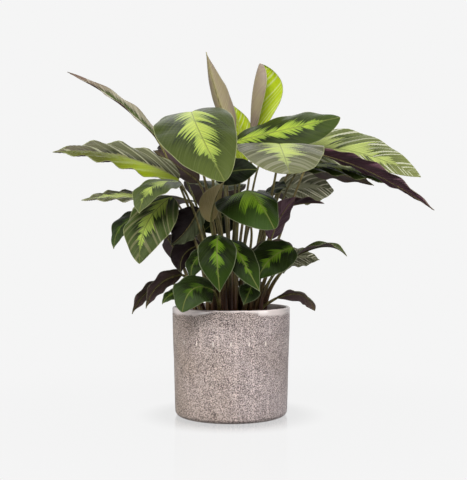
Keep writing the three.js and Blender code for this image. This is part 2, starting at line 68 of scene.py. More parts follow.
camera_data = bpy.data.cameras.new("camera")
camera_data.lens = LENS_MM
camera_data.sensor_width = SENSOR_MM
camera = bpy.data.objects.new("camera", camera_data)
camera.location = CAMERA_AT_MM * MM
camera.rotation_euler = (math.radians(90), 0, 0)
scene.collection.objects.link(camera)
scene.camera = camera
print("camera:", LENS_MM, "mm lens at", tuple(camera.location))

# %% [markdown]
# ## Nodes for materials
#
# Every finish below is a small network of shader nodes. One function adds a node, sets its own
# settings and fills its inputs, by name or simply in their order: a number node takes its terms, a
# mix its share and both ends, and a range its value, the two ends it comes from and the two it
# goes to. Colours are written as the sRGB hex values of a colour picker, and the renderer wants
# linear light, so another function turns them. COLOUR and SMOOTH are two settings that are wanted
# often.

# %% Helpers for materials
COLOUR = {"data_type": "RGBA"}
SMOOTH = {"interpolation_type": "SMOOTHSTEP"}


def linear(hex_colour):
    """An sRGB hex colour as linear red, green, blue and an alpha of 1."""
    parts = [int(hex_colour[i:i + 2], 16) / 255 for i in (1, 3, 5)]
    return [p / 12.92 if p <= 0.04045 else ((p + 0.055) / 1.055) ** 2.4 for p in parts] + [1.0]


def add_node(tree, kind, inputs=(), **settings):
    """Adds a shader node and fills its inputs with numbers, hex colours, sockets or nodes."""
    node = tree.nodes.new("ShaderNode" + kind)
    for name, value in settings.items():
        setattr(node, name, value)
    sockets = [s for s in node.inputs if s.enabled]
    names = [s.name for s in sockets]
    for key, value in inputs.items() if isinstance(inputs, dict) else enumerate(inputs):
        socket = sockets[names.index(key) if isinstance(key, str) else key]
        if isinstance(value, bpy.types.Node):
            value = next(s for s in value.outputs if s.enabled)
        if isinstance(value, bpy.types.NodeSocket):
            tree.links.new(value, socket)
        else:
            socket.default_value = linear(value) if isinstance(value, str) else value
    return node


def new_material(name):
    """An empty material, and the function that adds nodes to it."""
    material = bpy.data.materials.new(name)
    material.use_nodes = True
    material.node_tree.nodes.clear()
    return material, partial(add_node, material.node_tree)


print("white is", [round(v, 3) for v in linear("#f4f4f4")])

# %% [markdown]
# ## The leaves, one row each
#
# A calathea has no trunk. Every leaf rises from the soil on a stalk of its own, and no two point
# the same way, so each has its row of sizes, in millimetres and degrees, the same as in the frame.
# base and tip are the ends of the blade's midrib, and arch is how far its middle stands off the
# straight line. face is where the upper side looks. The outline is width at its widest, at the
# share widest_at of the length; a small fullness makes it blunt, point draws out its tip and
# halves scales the left and right halves. fold and curl are the angles at which the halves leave
# the midrib and then bend: plus lifts a half towards the upper side. wave is the height of the
# ripples at the margin and waves their number. sway, rise and nod bend the stalk.

# %% The leaves
LEAVES = {
    # young leaves, still partly rolled
    "spear_left": dict(
        base=(2, 10, 474), tip=(-43, 10, 618), arch=(-4, 0, 0), width=74, point=0.9,
        face=(0.3, 1, 0.1), fold=(20, 20), curl=(95, 95)),
    "spear_right": dict(
        base=(37, 44, 446), tip=(50, 40, 604), arch=(-7, 0, 4), width=92, fullness=0.5,
        halves=(0.92, 1.14), widest_at=0.7, point=0, face=(0.6, -0.6, 0), fold=(20, 30),
        curl=(120, 50), sway=(-6, 0, 0)),
    "spear_low": dict(
        base=(16, 66, 418), tip=(4, 72, 535), arch=(6, 0, 0), width=52, widest_at=0.55,
        face=(0.2, -1, 0.1), fold=(20, 20), curl=(40, 40)),
    # the crown
    "crown_front_left": dict(
        base=(-66, -30, 510), tip=(-9, -215, 382), arch=(-9, -12, 13), width=144,
        halves=(0.84, 0.96), widest_at=0.36, fullness=0.48, point=0.1, face=(0.34, -0.46, 0.82),
        fold=(56, -14), curl=(-50, -22), wave=1.5),
    "crown_front": dict(
        base=(78, -66, 452), tip=(87, -215, 393), arch=(-4, 0, 14), width=136, widest_at=0.4,
        fullness=0.4, point=0, sway=(14, 12, 0), face=(-0.04, -0.3, 0.95), fold=(2, 8),
        curl=(-12, -12), wave=2),
    "crown_right": dict(
        base=(4, -15, 462), tip=(181, -38, 500), arch=(4, -14, 0), width=102, halves=(0.96, 0.8),
        widest_at=0.5, fullness=0.36, point=0.3, face=(-0.25, -0.8, 0.55), fold=(-8, -4),
        curl=(-24, -16), wave=2),
    "crown_far_left": dict(
        base=(-128, 14, 473), tip=(-279, 0, 582), arch=(5, 0, 8), width=56, widest_at=0.36,
        halves=(1, 0.72), face=(0.5, -0.4, 0.77), fold=(16, 14), curl=(6, 6), wave=2,
        sway=(0, 22, 0)),
    "side_left": dict(
        base=(-88, -10, 399), tip=(-296, -40, 442), arch=(0, 0, 17), width=92, widest_at=0.34,
        point=0.35, face=(0, -0.52, 0.86), fold=(5, 3), curl=(0, 4), wave=4, waves=5),
    "side_right": dict(
        base=(125, 30, 456), tip=(322, -4, 403), arch=(-4, 0, 16), width=112, fullness=0.45,
        point=0.3, widest_at=0.36, halves=(1, 0.74), sway=(10, 0, 0), face=(0, -0.7, 0.7),
        fold=(6, 4), curl=(-10, -10), wave=2, waves=4),
    "side_right_folded": dict(
        base=(138, -28, 443), tip=(334, -54, 345), arch=(0, 0, 13), width=52, halves=(0.8, 1),
        face=(0.15, 0, 1), fold=(-10, 28), curl=(0, 10), wave=3, waves=5, sway=(28, 0, 0)),
    "side_right_under": dict(
        base=(118, 34, 422), tip=(272, 14, 392), arch=(0, 0, 14), width=64, halves=(1, 0.8),
        face=(0, -0.5, 0.87), fold=(0, -4), curl=(-8, -10), wave=4, waves=4, sway=(8, 0, 0)),
    # the left side
    "left_striped": dict(
        base=(-137, -10, 369), tip=(-245, -60, 361), arch=(0, 0, 5), width=60, widest_at=0.34,
        halves=(1.24, 1), face=(0, -0.4, 0.92), fold=(6, 0), curl=(-6, -6), wave=3, waves=4,
        sway=(0, 3, 0)),
    "left_small": dict(
        base=(-86, -62, 392), tip=(-144, -120, 338), arch=(-12, -6, 14), width=72, fullness=0.45,
        face=(-0.35, -0.55, 0.75), fold=(4, 4), curl=(-16, -16), wave=2),
    "left_large": dict(
        base=(-98, -44, 368), tip=(-146, -96, 258), arch=(-14, -14, 8), width=86, point=0.2,
        face=(-0.45, -0.85, 0.4), fold=(-8, 4), curl=(-22, -12), wave=3),
    "left_behind": dict(
        base=(-138, -20, 338), tip=(-196, -30, 281), arch=(-14, -4, 12), width=58,
        face=(-0.5, -0.6, 0.6), fold=(4, 4), curl=(-14, -14), wave=2),
    # the middle
    "centre": dict(
        base=(14, -50, 362), tip=(66, -165, 313), arch=(-8, 0, 34), width=96, halves=(0.74, 1.28),
        widest_at=0.5, fullness=0.42, point=0.1, face=(0.3, -0.5, 0.8), fold=(6, -28),
        curl=(-12, -12), wave=2),
    "centre_behind": dict(
        base=(58, 12, 372), tip=(94, -14, 384), arch=(0, 0, 6), width=44, face=(-0.2, -0.6, 0.8),
        fold=(6, 6), curl=(-16, -16), wave=2, sway=(16, 0, 0)),
    "centre_curled": dict(
        base=(-33, -62, 325), tip=(-11, -80, 390), arch=(-5, 0, 0), width=52, halves=(0.4, 1),
        widest_at=0.4, fullness=0.75, face=(0.2, 0.9, 0.2), fold=(10, 10), curl=(10, 10)),
    "centre_upper": dict(
        base=(-30, -17, 403), tip=(46, -24, 414), arch=(0, 0, 4), width=48, fullness=0.45,
        face=(0, -1, 0.15), fold=(0, 0), curl=(-12, -12), wave=1.5, sway=(12, 0, 0)),
    "centre_back": dict(
        base=(8, 90, 350), tip=(-52, 92, 310), arch=(0, 0, 4), width=60, fullness=0.4,
        face=(0.1, -0.95, 0.2), fold=(0, 0), curl=(-10, -10), wave=2, sway=(14, 0, 0), nod=1.3),
    "centre_upright": dict(
        base=(66, -40, 298), tip=(108, -36, 368), arch=(-4, 0, 4), width=44, face=(-0.5, 0.8, 0.2),
        fold=(10, 10), curl=(10, 20), wave=2),
    "right_folded": dict(
        base=(90, 2, 352), tip=(158, -4, 358), arch=(0, 0, 4), width=40, face=(0, 0.1, 1),
        fold=(10, 20), curl=(10, 10), wave=2),
    "right_striped": dict(
        base=(84, 48, 385), tip=(182, 66, 384), arch=(0, 0, 8), width=78, point=0.1,
        halves=(0.86, 1.16), face=(0.1, -0.75, 0.66), fold=(4, 4), curl=(-10, -10), wave=3,
        waves=4, sway=(10, 0, 0)),
    # low in the middle
    "low_front_left": dict(
        base=(-20, -104, 304), tip=(-17, -156, 216), arch=(-3, -16, 12), width=62, fullness=0.42,
        face=(0, -0.9, 0.4), fold=(0, 0), curl=(-18, -18), wave=1),
    "low_front_right": dict(
        base=(0, -76, 296), tip=(45, -130, 216), arch=(-4, -10, 8), width=50, fullness=0.42,
        face=(0.2, -0.9, 0.4), fold=(0, 0), curl=(-18, -18), wave=1),
    "low_right": dict(
        base=(101, -56, 284), tip=(42, -104, 232), arch=(-8, -12, 8), width=64, fullness=0.45,
        face=(0.1, -0.8, 0.6), fold=(6, 6), curl=(-14, -14), wave=2, sway=(-14, 0, 0)),
    "low_right_behind": dict(
        base=(102, -38, 280), tip=(28, -56, 278), arch=(0, 0, 5), width=36, face=(0, 0.8, 0.6),
        fold=(6, 6), curl=(-14, -14), wave=2, nod=1, rise=0.6),
    "low_far_right": dict(
        base=(96, -14, 262), tip=(192, -40, 269), arch=(10, 0, 20), width=44, face=(0.1, -0.2, 1),
        fold=(18, 24), curl=(-10, -10), wave=2, rise=0.6, nod=1),
    "low_striped_right": dict(
        base=(84, 10, 262), tip=(152, 16, 262), arch=(0, 0, 5), width=46, face=(0, -0.7, 0.7),
        fold=(4, 4), curl=(-10, -10), wave=2, waves=4, rise=0.6, nod=1),
    "low_dark_upper": dict(
        base=(-54, -32, 350), tip=(-100, -44, 288), arch=(4, 0, -4), width=56, halves=(1.1, 0.8),
        face=(-0.15, 0.95, 0.15), fold=(4, 4), curl=(16, 16), wave=3, waves=5, sway=(16, 0, 0),
        nod=1.4),
    "low_dark_lower": dict(
        base=(-52, -13, 289), tip=(-84, -27, 241), arch=(-12, 0, 6), width=50,
        face=(-0.4, 0.8, 0.4), fold=(4, 4), curl=(10, 10), wave=1),
    "purple_left": dict(
        base=(-56, 24, 398), tip=(-136, 40, 452), arch=(-4, 0, 4), width=50, face=(0.4, 0.8, 0.5),
        fold=(6, 6), curl=(10, 10), wave=2),
    # just over the rim
    "rim_right": dict(
        base=(75, -30, 199), tip=(137, -60, 180), arch=(10, -4, 17), width=44, widest_at=0.56,
        point=0.2, face=(0.3, 0.5, 0.8), fold=(-6, -10), curl=(-14, -14), wave=1.5),
    "rim_left_near": dict(
        base=(-84, 2, 238), tip=(-142, -34, 182), arch=(-10, 0, 10), width=46,
        face=(-0.5, 0.6, 0.6), fold=(4, 4), curl=(-10, -10), wave=2),
    "rim_left_far": dict(
        base=(-104, 18, 224), tip=(-169, 2, 170), arch=(-8, 0, 10), width=38,
        face=(-0.5, 0.6, 0.6), fold=(4, 4), curl=(-10, -10), wave=2),
    "rim_left_upper": dict(
        base=(-32, -47, 279), tip=(-64, -60, 230), arch=(-12, -6, 6), width=48, halves=(1, 0.8),
        face=(-0.5, -0.8, 0.3), fold=(0, 0), curl=(-14, -14), wave=1.5),
    "rim_left_lower": dict(
        base=(-28, -72, 214), tip=(-77, -116, 182), arch=(-8, -10, 20), width=74, fullness=0.42,
        point=0.2, face=(-0.3, -0.8, 0.5), fold=(0, 0), curl=(-18, -18), wave=2),
    "rim_left_dark": dict(
        base=(-77, -30, 210), tip=(-114, -46, 190), arch=(-4, 0, 6), width=30,
        face=(-0.3, -0.6, 0.7), fold=(0, 0), curl=(-14, -14), wave=1),
    "rim_centre": dict(
        base=(34, -66, 224), tip=(20, -90, 192), arch=(2, -6, 4), width=36, face=(0.1, -0.9, 0.4),
        fold=(0, 0), curl=(-10, -10), wave=1),
    # the back
    "back_high_left": dict(
        base=(-40, 60, 430), tip=(-110, 215, 440), arch=(-10, 0, 30), width=110,
        face=(-0.1, 0.4, 0.9), fold=(4, 4), curl=(-12, -12), wave=2),
    "back_high_right": dict(
        base=(52, 76, 440), tip=(114, 226, 425), arch=(10, 0, 30), width=112, face=(0.1, 0.4, 0.9),
        fold=(4, 4), curl=(-12, -12), wave=2),
    "back_upright": dict(
        base=(-10, 50, 420), tip=(-56, 190, 496), arch=(0, 10, 10), width=84, face=(0, -0.4, 0.9),
        fold=(10, 10), curl=(10, 10), wave=2),
    "back_middle": dict(
        base=(-24, 74, 385), tip=(-40, 240, 330), arch=(0, 0, 42), width=116, face=(0, 0.5, 0.8),
        fold=(2, 2), curl=(-12, -12), wave=2),
    "back_side_left": dict(
        base=(-90, 66, 420), tip=(-240, 136, 455), arch=(0, 0, 8), width=70, face=(0, 0.3, 0.95),
        fold=(6, 6), curl=(4, 4), wave=3, waves=4),
    "back_side_right": dict(
        base=(106, 84, 420), tip=(266, 150, 398), arch=(0, 0, 10), width=66, face=(0, 0.35, 0.94),
        fold=(4, 4), curl=(-4, -4), wave=3, waves=4),
    "back_left": dict(
        base=(-70, 60, 365), tip=(-150, 200, 340), arch=(-8, 0, 18), width=84,
        face=(-0.2, 0.5, 0.8), fold=(4, 4), curl=(-12, -12), wave=2),
    "back_right": dict(
        base=(56, 74, 376), tip=(112, 212, 366), arch=(8, 0, 16), width=76, face=(0.2, 0.4, 0.9),
        fold=(4, 4), curl=(-12, -12), wave=2, sway=(-13, 0, 0)),
    "back_low_left": dict(
        base=(-50, 60, 300), tip=(-112, 175, 256), arch=(-10, 0, 20), width=74,
        face=(-0.3, 0.6, 0.7), fold=(4, 4), curl=(-14, -14), wave=2),
    "back_low_middle": dict(
        base=(-12, 80, 276), tip=(-20, 225, 226), arch=(0, 0, 20), width=80, face=(0, 0.5, 0.85),
        fold=(4, 4), curl=(-14, -14), wave=2),
    "back_low_right": dict(
        base=(50, 66, 268), tip=(100, 195, 232), arch=(8, 0, 16), width=70, face=(0.3, 0.5, 0.8),
        fold=(4, 4), curl=(-14, -14), wave=2),
    "back_rim_left": dict(
        base=(-40, 72, 220), tip=(-84, 170, 192), arch=(-8, 0, 16), width=56,
        face=(-0.3, 0.6, 0.7), fold=(4, 4), curl=(-12, -12), wave=1.5),
    "back_rim_right": dict(
        base=(20, 74, 214), tip=(42, 170, 190), arch=(4, 0, 16), width=52, face=(0.2, 0.6, 0.7),
        fold=(4, 4), curl=(-12, -12), wave=1.5),
}
print("leaves:", len(LEAVES))

# %% [markdown]
# ## The shape of a blade
#
# A blade is a curved sheet, and any place on it has two numbers: s runs along the midrib from 0 at
# the stalk to 1 at the tip, and t runs across from -1 at the left margin to 1 at the right. The
# functions below turn s and t into a point in space. They are the frame's own formulas, so a fine
# blade lies where the plain one did.

# %% Midrib, outline and cross-section
WIDEST_AT = 0.42
FULLNESS = 0.58
POINT = 0.5
NECK_HALF_WIDTH = 2.2
TIP_HALF_WIDTH = 0.8


def mix(a, b, share):
    """The value or vector at that share of the way from a to b."""
    return a * (1 - share) + b * share


def smooth(low, high, value):
    """0 below low, 1 above high, and a smooth rise between them."""
    share = min(max((value - low) / (high - low), 0), 1)
    return share * share * (3 - 2 * share)


def midrib(leaf, s):
    """The point of the midrib at s and the direction it runs in."""
    base, tip = Vector(leaf["base"]), Vector(leaf["tip"])
    bend = (base + tip) / 2 + 2 * Vector(leaf["arch"])
    point = mix(mix(base, bend, s), mix(bend, tip, s), s)
    return point, mix(bend - base, tip - bend, s).normalized()


def half_width(leaf, s):
    power = math.log(0.5) / math.log(leaf.get("widest_at", WIDEST_AT))
    fullness = leaf.get("fullness", FULLNESS) + leaf.get("point", POINT) * s * s
    rounded = leaf["width"] / 2 * max(math.sin(math.pi * s ** power), 0) ** fullness
    return max(rounded, mix(NECK_HALF_WIDTH, TIP_HALF_WIDTH, s))


def blade_row(leaf, s):
    """What all points of the blade at s share: its place, width and directions."""
    point, along = midrib(leaf, s)
    face = Vector(leaf["face"])
    up = (face - along * face.dot(along)).normalized()
    right = along.cross(up)
    return {"s": s, "point": point, "right": right, "up": up, "width": half_width(leaf, s)}


def half_at(leaf, row, t):
    """Which half of the blade t is on, 0 or 1, and how wide that half is in the row."""
    half = 0 if t < 0 else 1
    return half, row["width"] * leaf.get("halves", (1, 1))[half]


def blade_point(leaf, row, t, relief=0):
    """The point of the upper surface at t in that row, raised by relief along its normal."""
    half, width = half_at(leaf, row, t)
    reach = abs(t)
    fold = math.radians(leaf["fold"][half])
    curl = math.radians(leaf["curl"][half]) or 1e-6
    angle = fold + curl * reach
    out = width * (math.sin(angle) - math.sin(fold)) / curl
    lift = width * (math.cos(fold) - math.cos(angle)) / curl
    phase = 2 * math.pi * leaf.get("waves", 3) * (row["s"] - 0.3 * reach) + half * 1.7
    ends = math.sin(math.pi * row["s"]) ** 0.5
    ripple = leaf.get("wave", 0) * math.sin(phase) * reach ** 2 * ends
    side = math.copysign(1, t)
    normal = row["up"] * math.cos(angle) - row["right"] * side * math.sin(angle)
    return row["point"] + row["right"] * side * out + row["up"] * lift + normal * (ripple + relief)


middle = blade_row(LEAVES["crown_front_left"], 0.5)
print("the widest leaf is", round(2 * middle["width"]), "mm across")

# %% [markdown]
# ## Veins and pleats
#
# Side veins leave the midrib at a steep angle, run out and sweep forward to the margin, with the
# blade pleated gently between them. The lime feathering and all streaks follow them too. So every
# point also gets the number of its vein: the place on the midrib where the vein through the point
# starts. Points on one vein share one number, and patterns drawn along that number follow the
# veins.

# %% Veins
VEINS = 24
VEIN_SLANT = (1.1, 1.1)
OWN_SLANTS = {"crown_front_left": (2.1, 1.2), "crown_front": (0.5, 0.5)}
VEIN_SWEEP = 0.3
PLEAT_MM = 0.55
DEEP_PLEATS_MM = {
    "side_left": 1.5, "side_right": 1.3, "side_right_under": 1.4, "left_striped": 1.4,
    "right_striped": 1.3, "low_striped_right": 1.3, "crown_front": 0.9, "left_large": 0.8,
    "spear_left": 0.2, "spear_right": 0.2, "spear_low": 0.2,
}
CRINKLE_MM = 2.2


def vein_start(leaf, row, t, length):
    """Where on the midrib, from 0 to 1, the side vein through this point starts."""
    half, width = half_at(leaf, row, t)
    forward = leaf["slant"][half] * (abs(t) + VEIN_SWEEP * t * t) * width
    return row["s"] - forward / length


def relief(row, t, vein, pleat_height):
    """How far the pleats and the crinkled margin stand off the smooth blade, in millimetres."""
    edge = abs(t)
    off_midrib = smooth(0, 6, edge * row["width"])
    pleat = pleat_height * (abs(math.sin(math.pi * vein * VEINS)) - 0.6)
    place = (row["point"] + row["right"] * t * row["width"]) * 0.035
    crinkle = CRINKLE_MM * noise.noise(place) * edge ** 2 * smooth(0, 16, row["width"])
    ends = smooth(0, 0.08, row["s"]) * smooth(1, 0.92, row["s"])
    return (pleat * off_midrib * mix(1, 0.45, edge ** 3) + crinkle) * ends


print("veins on each half:", VEINS)

# %% [markdown]
# ## Where the stalks stand, and how they rise
#
# The stalks stand close together in the soil, those of the high leaves nearest the middle. Each
# foot starts under its blade, pulled in, and then the feet push each other apart until none are
# too close. A foot is kept as a complex number, because that is a plane point that Python can add.
# From its foot a stalk rises straight, leans out, and turns into the blade at a swollen knee.

# %% Stalk feet and centre lines
FOOT_RADIUS = 3.6
HEAD_RADIUS = 1.7
SOIL_TOP = 163
SOIL_MOUND = 5
BARE_FOOT = 2
CLUMP_RADIUS = 62
SPACING = 11.2
LOW_PULL, HIGH_PULL = 0.66, 0.26
LOW_HEIGHT, HIGH_HEIGHT = 190, 450
PUSH_ROUNDS = 120


def stalk_feet(leaves):
    feet = []
    for x, y, z in (leaf["base"] for leaf in leaves):
        pull = mix(LOW_PULL, HIGH_PULL, (z - LOW_HEIGHT) / (HIGH_HEIGHT - LOW_HEIGHT))
        feet.append(complex(x, y) * pull)
    for _ in range(PUSH_ROUNDS):
        for a in range(len(feet)):
            for b in range(a + 1, len(feet)):
                apart = feet[b] - feet[a]
                short = SPACING - abs(apart)
                if short > 0:
                    push = apart / abs(apart) * short / 2
                    feet[b] += push
                    feet[a] -= push
        feet = [f * min(CLUMP_RADIUS / abs(f), 1) for f in feet]
    return feet


def stalk_point(leaf, foot, share):
    """The centre of the stalk, from its foot at 0 to the blade's base at 1."""
    start = Vector((foot.real, foot.imag, SOIL_TOP + SOIL_MOUND + BARE_FOOT))
    end, along = midrib(leaf, 0)
    reach = (end - start).length
    arrive = (along * leaf.get("nod", 0.5) + (end - start).normalized() * 0.8).normalized()
    sway = Vector(leaf.get("sway", (0, 0, 0)))
    first = start + Vector((0, 0, reach * leaf.get("rise", 0.3))) + sway
    second = end - arrive * reach * 0.25 + sway
    left, right = mix(start, first, share), mix(second, end, share)
    between = mix(first, second, share)
    return mix(mix(left, between, share), mix(between, right, share), share)


feet = dict(zip(LEAVES, stalk_feet(list(LEAVES.values()))))
print("feet reach", round(max(abs(f) for f in feet.values())), "mm from the middle")

# %% [markdown]
# ## Building one leaf
#
# The blade starts as a flat grid, whose points are then moved to where the formulas put them, and
# a solidify operator gives the sheet its thickness. The stalk and the midrib are one tube: a
# second grid, bent round the centre line and closed along its seam, which runs from the soil up to
# the blade and on beneath it, tapering towards the tip. Living blades are about 0.3 mm thick; half
# a millimetre still looks thin and prints and exports cleanly.
#
# Each point also keeps a few numbers for the materials, as attributes of the mesh: its place along
# and across, its vein, its distance from midrib and margin in millimetres, and a number of the
# leaf.

# %% Blade
BLADE_MM = 0.5
ROWS = 112
HALF_COLUMNS = 15
UPPER, UNDER, RIM, STALK = range(4)
ATTRIBUTES = ("along", "reach", "vein", "centre_mm", "margin_mm", "half", "leaf_number")


def write_attributes(bm, vert, values):
    for name, value in values.items():
        vert[bm.verts.layers.float[name]] = value


def add_blade(bm, leaf, number, length, pleat_height):
    bmesh.ops.create_grid(bm, x_segments=2 * HALF_COLUMNS, y_segments=ROWS, size=0.5)
    rows = {}
    for vert in bm.verts:
        t = max(min(2 * vert.co.x, 1), -1)
        even = min(max(vert.co.y + 0.5, 0), 1)
        s = mix(even, (1 - math.cos(math.pi * even)) / 2, 0.5)
        if s not in rows:
            rows[s] = blade_row(leaf, s)
        row = rows[s]
        vein = vein_start(leaf, row, t, length)
        vert.co = blade_point(leaf, row, t, relief(row, t, vein, pleat_height)) * MM
        across = half_at(leaf, row, t)[1]
        write_attributes(bm, vert, {
            "along": s, "reach": abs(t), "vein": vein, "centre_mm": abs(t) * across,
            "margin_mm": (1 - abs(t)) * across, "half": float(t > 0), "leaf_number": number,
        })
    upper = set(bm.faces)
    bm.normal_update()
    bmesh.ops.solidify(bm, geom=bm.faces[:], thickness=BLADE_MM * MM)
    for face in bm.faces:
        if face in upper:
            face.material_index = UPPER
        elif any(other in upper for edge in face.edges for other in edge.link_faces):
            face.material_index = RIM
        else:
            face.material_index = UNDER


# %% Stalk and midrib
TUBE_SIDES = 10
STALK_RINGS = 30
MIDRIB_RINGS = 26
KNEE_MM = 16
SHEATH_SHARE = 0.42


def tube_centre_line(leaf, foot):
    """Centres and radii of the tube's rings, from under the soil to near the blade's tip."""
    top = (midrib(leaf, 0)[0] - stalk_point(leaf, foot, 0)).length
    line = [(Vector((foot.real, foot.imag, SOIL_TOP - 6)), FOOT_RADIUS, 0)]
    for i in range(STALK_RINGS):
        share = i / STALK_RINGS
        radius = mix(HEAD_RADIUS, FOOT_RADIUS, (1 - share) ** 1.2)
        radius *= 1 + 0.16 * smooth(SHEATH_SHARE + 0.02, SHEATH_SHARE - 0.02, share)
        knee = smooth(KNEE_MM * 1.3, KNEE_MM * 0.7, (1 - share) * top)
        line.append((stalk_point(leaf, foot, share), radius + 0.5 * knee, share))
    for i in range(1, MIDRIB_RINGS + 1):
        s = 0.97 * (i / MIDRIB_RINGS) ** 1.2
        row = blade_row(leaf, s)
        radius = mix(1.5, 0.3, s ** 0.7)
        sunk = (0.45 + 0.8 * radius) * smooth(0, 0.06, s)
        line.append((row["point"] - row["up"] * sunk, radius, 1 + s))
    return line


def relaxed(line, joint, reach, rounds):
    """The centre line with the corner at the joint rounded off."""
    for _ in range(rounds):
        for i in range(joint - reach, joint + reach + 1):
            centre = (line[i - 1][0] + line[i + 1][0] + line[i][0] * 2) / 4
            line[i] = (centre, *line[i][1:])
    return line


def add_tube(bm, leaf, foot, number):
    line = relaxed(tube_centre_line(leaf, foot), STALK_RINGS, 3, 3)
    rings = []
    right = blade_row(leaf, 0)["right"]
    for i in reversed(range(len(line))):
        centre, radius, share = line[i]
        ahead = (line[min(i + 1, len(line) - 1)][0] - line[max(i - 1, 0)][0]).normalized()
        if share > 1:
            right = blade_row(leaf, share - 1)["right"]
        right = (right - ahead * right.dot(ahead)).normalized()
        rings.insert(0, (centre, radius, right, right.cross(ahead), share))
    closing = 1e-4
    rings.insert(0, (rings[0][0], closing, *rings[0][2:]))
    rings.append((rings[-1][0], closing, *rings[-1][2:]))
    made = bmesh.ops.create_grid(bm, x_segments=TUBE_SIDES, y_segments=len(rings) - 1, size=0.5)
    for vert in made["verts"]:
        turn = 2 * math.pi * round((vert.co.x + 0.5) * TUBE_SIDES) / TUBE_SIDES
        centre, radius, right, up, share = rings[round((vert.co.y + 0.5) * (len(rings) - 1))]
        channel = 1 - 0.22 * max(math.sin(turn), 0) ** 4 * smooth(1, 0.9, share)
        offset = right * math.cos(turn) + up * math.sin(turn)
        vert.co = (centre + offset * radius * channel) * MM
        write_attributes(bm, vert, {
            "along": share, "reach": 0.5 - 0.5 * math.sin(turn), "vein": 0, "centre_mm": 0,
            "margin_mm": 9, "half": 0, "leaf_number": number,
        })
    faces = {face for vert in made["verts"] for face in vert.link_faces}
    for face in faces:
        face.material_index = STALK
    bmesh.ops.remove_doubles(bm, verts=made["verts"], dist=2 * closing * MM)
    stalk_faces = [face for face in bm.faces if face.material_index == STALK]
    bmesh.ops.recalc_face_normals(bm, faces=stalk_faces)


def finished_mesh(bm, name, materials, angle=40):
    """Turns a bmesh into an object, shaded smooth except where faces meet at more than angle."""
    for face in bm.faces:
        face.smooth = True
    for edge in bm.edges:
        edge.smooth = edge.calc_face_angle(0) < math.radians(angle)
    mesh = bpy.data.meshes.new(name)
    bm.to_mesh(mesh)
    bm.free()
    for material in materials:
        mesh.materials.append(material)
    piece = bpy.data.objects.new(name, mesh)
    scene.collection.objects.link(piece)
    return piece
